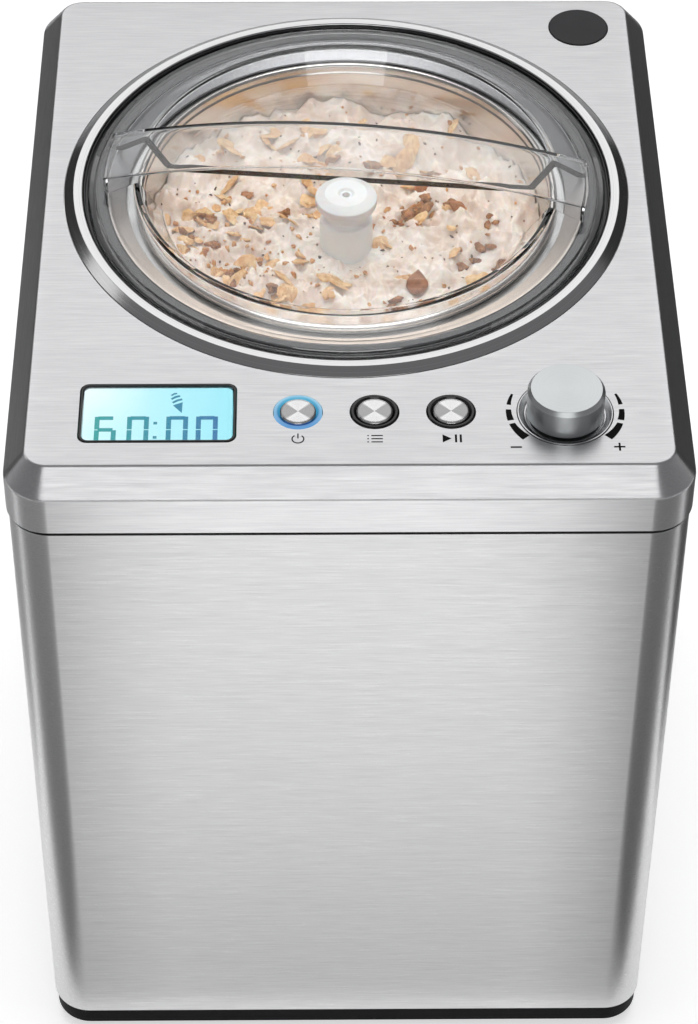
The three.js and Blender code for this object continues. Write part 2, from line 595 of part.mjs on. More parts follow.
function addControls() {
  add('control_board', block(-BOARD.x, BOARD.y0, zBoard - BOARD.thick, BOARD.x, BOARD.y1, zBoard), finish.board);
  const partZ = zBoard + GAP;
  const switchTop = partZ + 6;
  for (const { name, centre } of buttonList()) {
    const b = BUTTONS;
    add(`button_ring_${name}`, ring(b.cap + GAP, b.ring, zUnder - 4, zPlate + b.ringProud, centre, FACETS.small),
      name === 'power' ? finish.blue : finish.black);
    const stem = switchTop + b.travel + GAP;
    add(`button_${name}`, turned([[0, stem], [2.5, stem], [2.5, zUnder - 5], [b.cap, zUnder - 5],
      [b.cap, zPlate + b.proud - 0.6], [b.cap - 0.6, zPlate + b.proud], [0, zPlate + b.proud]],
    centre, FACETS.small), finish.polished);
    add(`switch_${name}`, join(slab(centre.x, centre.y, partZ + 2, 7, 7, 4),
      disc(1.8, partZ + 3, switchTop, centre, FACETS.small)), finish.black);
  }

  const d = DISPLAY;
  const glassBottom = zPlate - d.thick;
  add('display_window', roundedPrism(d.width, d.depth, d.corner, glassBottom, zPlate, d.x, d.y, 3), finish.clear);
  add('display_frame', cut(
    roundedPrism(d.width + 2 * d.frame + 2 * GAP, d.depth + 2 * d.frame + 2 * GAP, d.corner + d.frame,
      glassBottom, zPlate + 0.3, d.x, d.y, 3),
    roundedPrism(d.width + 2 * GAP, d.depth + 2 * GAP, d.corner + GAP, glassBottom - 1, zPlate + 1, d.x, d.y, 3)),
  finish.black);
  add('lcd_module', slab(d.x, d.y, (partZ + glassBottom - GAP) / 2, d.width - 2, d.depth - 2,
    glassBottom - GAP - partZ), finish.lcd);

  const at = new THREE.Vector2(KNOB.x, KNOB.y);
  const k = KNOB;
  const bore = k.shaft + GAP;
  const encoderTop = zPlate - k.dishDepth - 4;
  add('knob_dish', turned([[bore + 1, zPlate - k.dishDepth - 1.2], [k.dish, zPlate - k.dishDepth - 1.2],
    [k.dish, zPlate + 0.3], [k.dish - 0.8, zPlate + 0.3], [k.dish - 2.6, zPlate - 0.9],
    [k.radius - 1, zPlate - k.dishDepth], [bore + 1, zPlate - k.dishDepth]],
  at, FACETS.medium), finish.aluminium);
  const knobBottom = zPlate - k.dishDepth + 1;
  const shaftTop = zPlate + k.top - 4;
  add('knob', turned([[bore, knobBottom], [k.radius - 0.6, knobBottom], [k.radius, knobBottom + 0.6],
    [k.radius, zPlate + k.top - k.chamfer], [k.radius - k.chamfer, zPlate + k.top], [0, zPlate + k.top],
    [0, shaftTop + GAP], [bore, shaftTop + GAP]], at, FACETS.medium), finish.aluminium);
  add('encoder_shaft', disc(k.shaft, encoderTop - 2, shaftTop, at, FACETS.small), finish.zinc);
  add('encoder', cut(slab(k.x, k.y, (partZ + encoderTop) / 2, 13, 13, encoderTop - partZ),
    disc(k.shaft + GAP, encoderTop - 2 - GAP, encoderTop + 1, at, FACETS.small)), finish.zinc);
}

// ---------------------------------------------------------------- drive

function addDrive() {
  const boxTop = zGearboxTop + GEARBOX.coverThick;
  const reach = (teeth) => GEARS.module * (teeth / 2 + 1) + GEARBOX.margin;
  const wheels = [[axis, reach(GEARS.output)], [idlerAxis, reach(GEARS.idlerBig)],
    [motorAxis, reach(GEARS.pinion)]];
  const x0 = Math.min(...wheels.map(([c, r]) => c.x - r));
  const x1 = Math.max(...wheels.map(([c, r]) => c.x + r));
  const y0 = Math.min(...wheels.map(([c, r]) => c.y - r));
  const y1 = Math.max(...wheels.map(([c, r]) => c.y + r));
  const middle = [(x0 + x1) / 2, (y0 + y1) / 2];
  const size = [x1 - x0, y1 - y0];
  const { wall, corner } = GEARBOX;
  const body = cut(
    roundedPrism(size[0], size[1], corner, GEARBOX.bottom, zGearboxTop, ...middle, 3),
    roundedPrism(size[0] - 2 * wall, size[1] - 2 * wall, corner - wall, GEARBOX.bottom + wall, zGearboxTop + 1,
      ...middle, 3),
    disc(MOTOR.axle + RUN, GEARBOX.bottom - 1, GEARBOX.bottom + wall + 1, motorAxis, FACETS.small));
  add('gearbox_housing', body, finish.zinc);
  const bushOuter = SHAFT.radius + 4;
  add('gearbox_cover', cut(
    roundedPrism(size[0], size[1], corner, zGearboxTop + GAP, boxTop, ...middle, 3),
    disc(bushOuter + GAP, zGearboxTop - 1, boxTop + 1, axis, FACETS.small)), finish.zinc);
  const bushBore = roomy(SHAFT.radius + 0.06, FACETS.small);
  const bushTop = JACKET.bottom + 8;
  add('shaft_bush', ring(bushBore, bushOuter, zGearboxTop + GAP, bushTop, axis, FACETS.small), finish.zinc);

  const toIdler = Math.atan2(idlerAxis.y - axis.y, idlerAxis.x - axis.x);
  const toMotor = Math.atan2(motorAxis.y - idlerAxis.y, motorAxis.x - idlerAxis.x);
  const idlerGap = toIdler + Math.PI + Math.PI / GEARS.idlerSmall;
  const pinionGap = toMotor + Math.PI + Math.PI / GEARS.pinion;
  const bore = SHAFT.radius + 1.5;
  add('output_gear', cut(gear(GEARS.output, toIdler, axis, zGearHigh),
    disc(bore + GAP, zGearHigh - 1, zGearHigh + GEARS.face + 1, axis, FACETS.small)), finish.white);
  const shaftFoot = GEARBOX.bottom + wall + GAP;
  const shaftTop = zPlate + SHAFT.top;
  const hexFoot = zBowlFloor + BOWL.hubHeight - 4;
  add('drive_shaft', join(
    turned([[0, shaftFoot], [bore, shaftFoot], [bore, zGearHigh + GEARS.face], [SHAFT.radius,
      zGearHigh + GEARS.face], [SHAFT.radius, hexFoot], [0, hexFoot]], axis, FACETS.small),
    disc(SHAFT.radius, hexFoot - 1, shaftTop, axis, 6)), finish.polished);
  add('idler_gear', join(gear(GEARS.idlerBig, toMotor, idlerAxis, zGearLow),
    prism(gearOutline(GEARS.idlerSmall, idlerGap, idlerAxis), zGearLow + GEARS.face - 1, zGearHigh + GEARS.face)),
  finish.white);
  add('motor_pinion', join(gear(GEARS.pinion, pinionGap, motorAxis, zGearLow),
    disc(MOTOR.axle, GEARBOX.bottom - 12, zGearLow + 1, motorAxis, FACETS.small)), finish.zinc);

  const motorTop = GEARBOX.bottom - GAP;
  add('drive_motor', cut(turned([[0, motorTop - MOTOR.height], [MOTOR.radius - 3, motorTop - MOTOR.height],
    [MOTOR.radius, motorTop - MOTOR.height + 3], [MOTOR.radius, motorTop], [0, motorTop]],
  motorAxis, FACETS.medium), disc(MOTOR.axle + RUN, GEARBOX.bottom - 13, motorTop + 1, motorAxis, FACETS.small)), finish.zinc);

  // bridge that carries the gearbox over the compressor bay
  const g = BRACKET;
  const legY = axis.y + g.back;
  const footZ = zRimBottom + FLOOR_THICK + GAP;
  const shelfZ = GEARBOX.bottom - GAP;
  const legX = g.x + (g.width - g.leg) / 2;
  add('drive_bracket', join(
    block(g.x, legY - g.foot / 2, footZ, g.x + g.width, legY + g.foot / 2, footZ + g.thick),
    block(legX, legY - g.foot / 2, footZ, legX + g.leg, legY + g.foot / 2, shelfZ),
    block(g.x, legY + g.foot / 2 - g.shelf, shelfZ - g.thick, g.x + g.width, legY + g.foot / 2, shelfZ)),
  finish.zinc);
}

// ---------------------------------------------------------------- cooling circuit

function addCooling() {
  const c = COMPRESSOR;
  const at = new THREE.Vector2(c.x, c.y);
  const top = c.bottom + c.height;
  const can = turned([[0, c.bottom], [c.radius - 16, c.bottom], [c.radius - 4, c.bottom + 8],
    [c.radius, c.bottom + 20], [c.radius, c.bottom + 0.55 * c.height], [c.radius + 2, c.bottom + 0.55 * c.height],
    [c.radius + 2, c.bottom + 0.55 * c.height + 3], [c.radius, c.bottom + 0.55 * c.height + 3],
    [c.radius, top - 22], [c.radius - 8, top - 8], [c.radius - 24, top], [0, top]], at, FACETS.medium);
  const plateTop = c.bottom + 2;
  const floor = zRimBottom + FLOOR_THICK + GAP;
  const grommets = [90, 210, 330].map((bearing) => polar(at, c.radius - 9, bearing));
  const plate = roundedPrism(96, 96, 12, c.bottom - 2, plateTop, c.x, c.y, 2);
  const terminals = block(c.x - 20, c.y - c.radius - 16, 50, c.x + 14, c.y - c.radius + 6, 92);
  add('compressor', join(can, plate, terminals), finish.painted);
  grommets.forEach((place, i) => {
    const grommet = ring(3, c.grommet, floor, c.bottom - 2 - GAP, place, FACETS.small);
    add(`compressor_grommet_${i + 1}`, grommet, finish.rubber);
  });

  // condenser: finned block with a round tube bend at its top
  const k = CONDENSER;
  const fins = [];
  const finPitch = k.height / k.fins;
  for (let i = 0; i < k.fins; i += 1) {
    fins.push(slab(k.x, k.y, k.z - k.height / 2 + finPitch * (i + 0.5), k.thick, k.width, finPitch * 0.35));
  }
  const core = slab(k.x, k.y, k.z, k.thick * 0.35, k.width - 10, k.height);
  add('condenser', join(core, ...fins), finish.aluminium);

  // fan: square frame, rotor and motor, blowing along X
  const f = FAN;
  const lie = (geometry) => geometry.rotateY(Math.PI / 2).translate(f.x, f.y, f.z);
  const origin = new THREE.Vector2(0, 0);
  const square = roundedPrism(f.size, f.size, 8, -f.depth / 2, f.depth / 2, 0, 0, 2);
  const throat = disc(f.tip + 2, -f.depth, f.depth, origin, FACETS.medium);
  const spoke = () => slab(0, 0, -f.depth / 2 + 1.5, 2 * f.tip + 6, 6, 3);
  const spokes = [spoke(), spoke().rotateZ(Math.PI / 2)];
  const seat = disc(f.hub, -f.depth / 2, -f.depth / 2 + 3, origin, FACETS.small);
  add('fan_frame', lie(join(cut(square, throat), ...spokes, seat)), finish.black);
  const blades = [];
  for (let i = 0; i < f.blades; i += 1) {
    const blade = new THREE.BoxGeometry(f.tip - f.hub + 4, 2, 17).rotateX(THREE.MathUtils.degToRad(52));
    blade.translate((f.tip + f.hub - 4) / 2, 0, 2.5).rotateZ(2 * Math.PI * i / f.blades);
    blades.push(blade);
  }
  const hub = disc(f.hub, -f.depth / 2 + 3 + RUN, f.depth / 2 - 1, origin, FACETS.small);
  add('fan_rotor', lie(join(hub, ...blades)), finish.black);

  // filter drier and the tubes between the cooling parts
  const d = DRIER;
  const drier = new THREE.Vector2(d.x, d.y);
  add('filter_drier', turned([[0, d.bottom], [d.pipe, d.bottom], [d.radius, d.bottom + d.neck],
    [d.radius, d.top - d.neck], [d.pipe, d.top], [0, d.top]], drier, FACETS.small), finish.copper);
  const outY = c.y + 18;
  add('discharge_tube', pipe([[c.x + 20, outY, top + 1], [c.x + 20, outY + 2, top + 14], [c.x + 40, outY + 34,
    top + 30], [20, 142, top + 36], [k.x - 20, 140, top + 38], [k.x, 118, top + 38], [k.x, k.y + 60,
    k.z + k.height / 2 + 9], [k.x, k.y + 58, k.z + k.height / 2 + 1]], 2.5, 28, 6), finish.copper);
  add('liquid_tube', pipe([[k.x, k.y + 50, k.z - k.height / 2 - 2], [k.x, k.y + 60, k.z - k.height / 2 - 7],
    [k.x - 30, k.y + 85, 24], [drier.x + 24, drier.y, 23], [drier.x, drier.y, 28],
    [drier.x, drier.y, d.bottom - 1]], 2, 20, 6), finish.copper);
  add('capillary_tube', pipe([[drier.x, drier.y, d.top + 1], [drier.x, drier.y + 6, 140], [drier.x + 10, 140, 170],
    [drier.x + 20, 142, 210], [drier.x + 20, 141, 300], [drier.x + 12, 139, 312]], 1.5, 20, 6), finish.copper);
  add('suction_tube', pipe([[c.x - 26, c.y + 22, top + 1], [c.x - 26, c.y + 26, top + 16], [c.x - 40, 138,
    top + 50], [c.x - 30, 142, 220], [c.x - 26, 142, 290]], 3, 22, 6), finish.copper);
}

// ---------------------------------------------------------------- power electronics

function addElectrics() {
  const p = POWER_BOARD;
  const boardY = -CASE.depth / 2 + p.setBack;
  const face = boardY + p.thick;
  const mounted = ({ x, z, width, height, proud }) => block(x - width / 2, face - 1, z - height / 2,
    x + width / 2, face + proud, z + height / 2);
  const capacitor = disc(CAPACITOR.radius, -1, CAPACITOR.length, new THREE.Vector2(0, 0), FACETS.small)
    .rotateX(-Math.PI / 2).translate(CAPACITOR.x, face, CAPACITOR.z);
  add('power_board', join(block(p.left, boardY, p.bottom, p.right, face, p.top), mounted(TRANSFORMER),
    mounted(CORE), mounted(RELAY), capacitor), finish.board);
}

addCasing();
addWell();
addBowl();
addLid();
addControls();
addDrive();
addCooling();
addElectrics();

export default machine;
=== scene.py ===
import math
import random

import bmesh
import bpy
from mathutils import Matrix, Vector, noise


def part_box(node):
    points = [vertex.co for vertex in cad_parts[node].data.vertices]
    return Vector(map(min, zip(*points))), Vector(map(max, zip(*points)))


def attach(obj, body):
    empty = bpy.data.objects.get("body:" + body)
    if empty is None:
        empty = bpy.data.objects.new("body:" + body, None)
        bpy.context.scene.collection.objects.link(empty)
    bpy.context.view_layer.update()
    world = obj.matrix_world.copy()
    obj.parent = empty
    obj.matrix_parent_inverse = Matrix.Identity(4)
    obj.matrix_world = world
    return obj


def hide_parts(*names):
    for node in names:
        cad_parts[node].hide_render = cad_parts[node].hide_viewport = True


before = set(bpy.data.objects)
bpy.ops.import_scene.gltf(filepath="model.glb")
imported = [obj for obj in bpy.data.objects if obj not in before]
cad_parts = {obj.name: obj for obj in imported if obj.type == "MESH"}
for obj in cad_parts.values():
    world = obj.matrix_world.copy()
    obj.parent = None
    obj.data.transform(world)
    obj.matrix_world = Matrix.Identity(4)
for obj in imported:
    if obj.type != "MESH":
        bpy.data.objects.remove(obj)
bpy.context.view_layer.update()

# Sizes are in millimetres and angles in degrees; meshes are written in metres.
MM = 0.001
ROUND = 160  # facets round a large ring
FINE_ROUND = 200
SMOOTH_ANGLE = 32
GAP = 0.3  # between neighbouring parts
SHEET = 1.2  # steel sheet
CORNER = 17  # upright corners of the casing
PANEL_LAP = 7  # of the rear panel behind the wrap
BOWL_INNER = 82.0  # inner radius
BOWL_FLOOR = 2  # thickness
HUB = 36  # height of the bowl's hub above its floor
LID_TURN = -5.6  # degrees of the lid's bar from the X axis


# ---------------------------------------------------------------- places taken from the CAD frame

def low(node):
    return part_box(node)[0] / MM


def high(node):
    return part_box(node)[1] / MM


def centre(node):
    middle = (low(node) + high(node)) / 2
    return middle.x, middle.y


def half_size(node):
    a, b = low(node), high(node)
    return (b.x - a.x) / 2, (b.y - a.y) / 2


COVER_LOW, COVER_HIGH = low("top_cover"), high("top_cover")
HALF_X, HALF_Y = COVER_HIGH.x, COVER_HIGH.y
PLATE = COVER_HIGH.z
BOWL_X, BOWL_Y = centre("bowl")
AXIS = (BOWL_X, BOWL_Y)


# ---------------------------------------------------------------- outlines

def fillet(points, closed=True):
    """Points are (a, b) or (a, b, radius); a corner with a radius becomes an arc."""
    out = []
    n = len(points)
    for i, point in enumerate(points):
        radius = point[2] if len(point) > 2 else 0
        ends = not closed and i in (0, n - 1)
        here = Vector(point[:2])
        if radius <= 0 or ends:
            out.append(tuple(here))
            continue
        back = Vector(points[i - 1][:2]) - here
        on = Vector(points[(i + 1) % n][:2]) - here
        angle = back.angle(on)
        reach = radius / math.tan(angle / 2)
        reach = min(reach, 0.49 * back.length, 0.49 * on.length)
        radius = reach * math.tan(angle / 2)
        start, end = here + back.normalized() * reach, here + on.normalized() * reach
        middle = here + (back.normalized() + on.normalized()).normalized() * (radius / math.sin(angle / 2))
        turn = math.pi - angle
        steps = max(2, round(math.degrees(turn) / 15))
        side = 1 if (start - middle).cross(end - middle) > 0 else -1
        first = math.atan2(start.y - middle.y, start.x - middle.x)
        for k in range(steps + 1):
            a = first + side * turn * k / steps
            out.append((middle.x + radius * math.cos(a), middle.y + radius * math.sin(a)))
    return out


def rounded_rect(hx, hy, radius, at=(0, 0), steps=10):
    radius = max(radius, 0.05)
    points = []
    for sx, sy, first in ((1, 1, 0), (-1, 1, 90), (-1, -1, 180), (1, -1, 270)):
        for k in range(steps + 1):
            a = math.radians(first + 90 * k / steps)
            points.append((at[0] + sx * (hx - radius) + radius * math.cos(a),
                           at[1] + sy * (hy - radius) + radius * math.sin(a)))
    return points


def circle(radius, at=(0, 0), segments=ROUND):
    return [(at[0] + radius * math.cos(2 * math.pi * k / segments),
             at[1] + radius * math.sin(2 * math.pi * k / segments)) for k in range(segments)]


# ---------------------------------------------------------------- meshes

class Shape:
    """Corners in millimetres and faces, gathered before they become one object."""

    def __init__(self):
        self.corners = []
        self.faces = []

    def add(self, corners, faces):
        first = len(self.corners)
        self.corners += [tuple(c) for c in corners]
        self.faces += [[first + i for i in face] for face in faces]
        return self

    def lathe(self, outline, at=AXIS, segments=ROUND, closed=True):
        """Turns an outline of (radius, z) round an upright axis."""
        rows = []
        for r, z in outline:
            if r < 1e-6:
                rows.append([len(self.corners)] * segments)
                self.corners.append((at[0], at[1], z))
                continue
            rows.append(list(range(len(self.corners), len(self.corners) + segments)))
            for k in range(segments):
                a = 2 * math.pi * k / segments
                self.corners.append((at[0] + r * math.cos(a), at[1] + r * math.sin(a), z))
        pairs = list(zip(rows, rows[1:]))
        if closed and outline[0][0] > 1e-6:
            pairs.append((rows[-1], rows[0]))
        for a, b in pairs:
            for k in range(segments):
                m = (k + 1) % segments
                face = []
                for i in (a[k], a[m], b[m], b[k]):
                    if i not in face:
                        face.append(i)
                if len(face) > 2:
                    self.faces.append(face)
        return self

    def loft(self, rings, caps=True):
        """Joins closed rings of equal count; each is a list of (x, y, z)."""
        first = len(self.corners)
        n = len(rings[0])
        for ring in rings:
            self.corners += [tuple(p) for p in ring]
        for r in range(len(rings) - 1):
            for k in range(n):
                m = (k + 1) % n
                self.faces.append([first + r * n + k, first + r * n + m,
                                   first + (r + 1) * n + m, first + (r + 1) * n + k])
        if caps:
            self.faces.append([first + k for k in reversed(range(n))])
            self.faces.append([first + (len(rings) - 1) * n + k for k in range(n)])
        return self

    def prism(self, outline, z0, z1, edge=0.0):
        """Upright prism, with its two rims eased by edge."""
        area = sum(a[0] * b[1] - b[0] * a[1] for a, b in zip(outline, outline[1:] + outline[:1]))
        if area < 0:
            outline = outline[::-1]
        if edge <= 0:
            return self.loft([[(x, y, z) for x, y in outline] for z in (z0, z1)])
        inner = offset(outline, -edge)
        return self.loft([[(x, y, z0) for x, y in inner], [(x, y, z0 + edge) for x, y in outline],
                          [(x, y, z1 - edge) for x, y in outline], [(x, y, z1) for x, y in inner]])

    def block(self, x0, y0, z0, x1, y1, z1, edge=0.0):
        return self.prism([(x0, y0), (x1, y0), (x1, y1), (x0, y1)], z0, z1, edge)

    def tube(self, path, radius, sides=12):
        rings = []
        points = [Vector(p) for p in path]
        for i, p in enumerate(points):
            along = (points[min(i + 1, len(points) - 1)] - points[max(i - 1, 0)]).normalized()
            across = along.cross(Vector((0, 0, 1)))
            if across.length < 1e-3:
                across = Vector((1, 0, 0))
            across.normalize()
            up = across.cross(along)
            rings.append([p + radius * (math.cos(2 * math.pi * k / sides) * across
                                        + math.sin(2 * math.pi * k / sides) * up) for k in range(sides)])
        return self.loft(rings)

    def moved(self, matrix):
        self.corners = [tuple(matrix @ Vector(c)) for c in self.corners]
        return self

    def object(self, name):
        mesh = bpy.data.meshes.new(name)
        mesh.from_pydata([(x * MM, y * MM, z * MM) for x, y, z in self.corners], [], self.faces)
        mesh.validate()
        work = bmesh.new()
        work.from_mesh(mesh)
        bmesh.ops.remove_doubles(work, verts=work.verts, dist=1e-7)
        bmesh.ops.recalc_face_normals(work, faces=work.faces)
        work.to_mesh(mesh)
        work.free()
        return linked(name, mesh)


def linked(name, data):
    obj = bpy.data.objects.new(name, data)
    bpy.context.scene.collection.objects.link(obj)
    return obj


def offset(outline, distance):
    """Moves a counter-clockwise outline outwards by distance."""
    out = []
    n = len(outline)
    for i in range(n):
        a, b, c = Vector(outline[i - 1]), Vector(outline[i]), Vector(outline[(i + 1) % n])
        d1, d2 = (b - a).normalized(), (c - b).normalized()
        n1, n2 = Vector((d1.y, -d1.x)), Vector((d2.y, -d2.x))
        mean = (n1 + n2)
        mean = mean / max(mean.length_squared / 2, 0.2)
        out.append(tuple(b + mean * distance))
    return out


def sheet_with_holes(name, rings, level, holes):
    """An open skin: rings joined from the outside in, then a flat field with holes in it."""
    work = bmesh.new()
    rows = [[work.verts.new((x * MM, y * MM, z * MM)) for x, y, z in ring] for ring in rings]
    for a, b in zip(rows, rows[1:]):
        for k in range(len(a)):
            m = (k + 1) % len(a)
            work.faces.new((a[k], a[m], b[m], b[k]))
    loops = [rows[-1]]
    for hole in holes:
        loops.append([work.verts.new((x * MM, y * MM, level * MM)) for x, y in hole])
    edges = []
    for loop in loops:
        for k in range(len(loop)):
            pair = (loop[k], loop[(k + 1) % len(loop)])
            edges.append(work.edges.get(pair) or work.edges.new(pair))
    bmesh.ops.triangle_fill(work, use_beauty=True, use_dissolve=False, edges=edges)
    bmesh.ops.recalc_face_normals(work, faces=work.faces)
    if sum(f.normal.z * f.calc_area() for f in work.faces) < 0:
        bmesh.ops.reverse_faces(work, faces=work.faces)
    mesh = bpy.data.meshes.new(name)
    work.to_mesh(mesh)
    work.free()
    return linked(name, mesh)


def modified(obj, kind, **settings):
    """The object with one modifier made part of its mesh."""
    modifier = obj.modifiers.new(kind, kind)
    for key, value in settings.items():
        setattr(modifier, key, value)
    graph = bpy.context.evaluated_depsgraph_get()
    mesh = bpy.data.meshes.new_from_object(obj.evaluated_get(graph))
    obj.modifiers.clear()
    obj.data = mesh
    return obj


def thickened(obj, thickness):
    return modified(obj, "SOLIDIFY", thickness=thickness * MM, offset=-1, use_even_offset=True)


def eased(obj, width):
    return modified(obj, "BEVEL", width=width * MM, segments=2, limit_method="ANGLE",
                    angle_limit=math.radians(40), use_clamp_overlap=True)


def combined(obj, tool, operation):
    modified(obj, "BOOLEAN", object=tool, operation=operation, solver="EXACT")
    bpy.data.objects.remove(tool)


def shaded(obj, angle=SMOOTH_ANGLE, weighted=True):
    mesh = obj.data
    mesh.polygons.foreach_set("use_smooth", [True] * len(mesh.polygons))
    mesh.set_sharp_from_angle(angle=math.radians(angle))
    return modified(obj, "WEIGHTED_NORMAL", keep_sharp=True) if weighted else obj


def piece(obj, body, material, slot=None, *nodes):
    obj.data.materials.clear()
    obj.data.materials.append(material)
    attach(obj, body)
    if nodes:
        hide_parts(*nodes)


# ---------------------------------------------------------------- materials

class Look:
    """A node material built up from one Principled shader."""

    def __init__(self, name, **values):
        self.material = bpy.data.materials.new(name)
        self.material.use_nodes = True
        self.tree = self.material.node_tree
        self.tree.nodes.clear()
        self.output = self.tree.nodes.new("ShaderNodeOutputMaterial")
        self.shader = self.tree.nodes.new("ShaderNodeBsdfPrincipled")
        self.tree.links.new(self.shader.outputs[0], self.output.inputs[0])
        self.set(**values)

    def set(self, **values):
        for key, value in values.items():
            self.put(self.shader.inputs[key.replace("_", " ")], value)

    def put(self, socket, value):
        if isinstance(value, bpy.types.NodeSocket):
            self.tree.links.new(value, socket)
        elif isinstance(value, (tuple, list)) and len(value) == 3 and socket.type == "RGBA":
            socket.default_value = (*value, 1)
        else:
            socket.default_value = value

    def node(self, kind, inputs=None, **settings):
        node = self.tree.nodes.new(kind)
        for key, value in settings.items():
            setattr(node, key, value)
        for key, value in (inputs or {}).items():
            self.put(node.inputs[key], value)
        return node

    def place(self, scale=(1, 1, 1), shift=(0, 0, 0)):
        coords = self.node("ShaderNodeTexCoord").outputs["Object"]
        inputs = {"Vector": coords, "Scale": scale, "Location": shift}
        return self.node("ShaderNodeMapping", inputs).outputs[0]

    def vector(self, operation, a, b=(0, 0, 0), out=0):
        return self.node("ShaderNodeVectorMath", {0: a, 1: b}, operation=operation).outputs[out]

    def math(self, operation, a, b=0.0, c=0.0):
        return self.node("ShaderNodeMath", {0: a, 1: b, 2: c}, operation=operation).outputs[0]

    def noise(self, where, scale=1.0, detail=3.0, roughness=0.55):
        return self.node("ShaderNodeTexNoise", {"Vector": where, "Scale": scale, "Detail": detail,
                                                "Roughness": roughness}).outputs["Fac"]

    def span(self, value, low_in, high_in, low_out, high_out):
        return self.node("ShaderNodeMapRange", {"Value": value, "From Min": low_in, "From Max": high_in,
                                                "To Min": low_out, "To Max": high_out}).outputs[0]

    def mix(self, factor, a, b):
        node = self.node("ShaderNodeMix", data_type="RGBA")
        for index, value in ((0, factor), (6, a), (7, b)):
            self.put(node.inputs[index], value)
        return node.outputs[2]

    def blend(self, factor, a, b):
        node = self.node("ShaderNodeMix", data_type="FLOAT")
        for index, value in ((0, factor), (2, a), (3, b)):
            self.put(node.inputs[index], value)
        return node.outputs[0]

    def bump(self, height, strength, distance=0.0002):
        relief = self.node("ShaderNodeBump", {"Height": height, "Strength": strength, "Distance": distance})
        self.set(Normal=relief.outputs[0])

    def component(self, vector, index):
        return self.node("ShaderNodeSeparateXYZ", {0: vector}).outputs[index]

    def radius_from(self, at):
        """Distance in metres from an upright axis, and the vector out from it."""
        flat = self.vector("MULTIPLY", self.place(), (1, 1, 0))
        out = self.vector("SUBTRACT", flat, (at[0] * MM, at[1] * MM, 0))
        return self.vector("LENGTH", out, out=1), out


def plain(name, dark, light, rough, metallic=0.0, grain=400.0, bump=0.08, **extra):
    """A moulded, cast or painted surface with fine mottling."""
    look = Look(name, Metallic=metallic, **extra)
    broad = look.noise(look.place(), 35, 4)
    fine = look.noise(look.place(), grain, 3)
    look.set(Base_Color=look.mix(look.span(broad, 0.3, 0.7, 0, 1), dark, light),
             Roughness=look.span(fine, 0.3, 0.7, rough[0], rough[1]))
    look.bump(fine, bump)
    return look.material


def brushed(name, dark, light, rough, anisotropic=0.65):
    """Sheet steel with its grain level, left to right on the top and round the sides."""
    look = Look(name, Metallic=1.0, Anisotropic=anisotropic)
    normal = look.node("ShaderNodeNewGeometry").outputs["Normal"]
    level = look.vector("CROSS_PRODUCT", (0, 0, 1), normal)
    along = look.vector("NORMALIZE", look.vector("ADD", level, (0.02, 0, 0)))
    look.set(Tangent=look.vector("CROSS_PRODUCT", normal, along))
    side = look.math("GREATER_THAN", look.math("ABSOLUTE", look.component(normal, 0)), 0.7)
    grain = look.blend(side, look.noise(look.place((70, 2600, 2600)), 1, 3, 0.6),
                       look.noise(look.place((2600, 70, 2600)), 1, 3, 0.6))
    streak = look.blend(side, look.noise(look.place((25, 900, 900), (3, 0, 0)), 1, 3),
                        look.noise(look.place((900, 25, 900), (3, 0, 0)), 1, 3))
    both = look.math("ADD", look.math("MULTIPLY", grain, 0.7), look.math("MULTIPLY", streak, 0.3))
    look.set(Base_Color=look.mix(look.span(both, 0.35, 0.65, 0, 1), dark, light),
             Roughness=look.span(both, 0.35, 0.65, rough[1], rough[0]))
    look.bump(both, 0.04, 0.00005)
    return look.material


def turned_metal(name, at, dark, light, rough, anisotropic=0.7, pitch=2600, painted_reflection_wedge=0.0):
    """Metal with fine rings round an upright axis; optionally with painted shade darkening its left and right
    sides, standing in for the dark sides of a bow-tie reflection.
    """
    look = Look(name, Metallic=1.0, Anisotropic=anisotropic)
    radius, out = look.radius_from(at)
    look.set(Tangent=look.vector("NORMALIZE", look.vector("ADD", out, (1e-6, 0, 0))))
    height = look.component(look.place(), 2)
    rings = look.node("ShaderNodeCombineXYZ", {0: look.math("MULTIPLY", radius, pitch),
                                               1: look.math("MULTIPLY", height, pitch)}).outputs[0]
    lines = look.noise(rings, 1, 3)
    colour = look.mix(look.span(lines, 0.3, 0.7, 0, 1), dark, light)
    # Painted shade: the left and right sides are darkened towards grey, standing in for the dark sides of the
    # bow-tie reflection on ring-turned metal.
    if painted_reflection_wedge:
        across = look.math("ABSOLUTE", look.component(look.vector("NORMALIZE", out), 0))
        shade = look.span(across, 0.66, 0.80, 1, 1 - painted_reflection_wedge)
        colour = look.mix(shade, (0.22, 0.22, 0.22), colour)
    look.set(Base_Color=colour, Roughness=look.span(lines, 0.3, 0.7, rough[0], rough[1]))
    look.bump(lines, 0.06, 0.0001)
    return look.material


def clear_plastic(name, tint, frosted=None, ior=1.49):
    """Clear moulded plastic. frosted(look) gives a mask from 0, clear, to 1, matt."""
    look = Look(name, Base_Color=tint, IOR=ior, Transmission_Weight=1.0)
    waves = look.noise(look.place(), 60, 2)
    speckle = look.noise(look.place(), 900, 4, 0.7)
    if frosted:
        mask = frosted(look)
        look.set(Roughness=look.blend(mask, look.span(waves, 0, 1, 0.01, 0.03),
                                      look.span(speckle, 0.3, 0.7, 0.10, 0.14)))
        height = look.math("ADD", look.math("MULTIPLY", waves, 0.15),
                           look.math("MULTIPLY", look.math("MULTIPLY", speckle, mask), 0.12))
    else:
        look.set(Roughness=look.span(waves, 0, 1, 0.01, 0.04))
        height = waves
    look.bump(height, 0.05, 0.0003)
    path = look.node("ShaderNodeLightPath").outputs["Is Shadow Ray"]
    passing = look.node("ShaderNodeBsdfTransparent", {"Color": (0.93, 0.94, 0.94)}).outputs[0]
    both = look.node("ShaderNodeMixShader", {0: path, 1: look.shader.outputs[0], 2: passing}).outputs[0]
    look.tree.links.new(both, look.output.inputs[0])
    return look.material


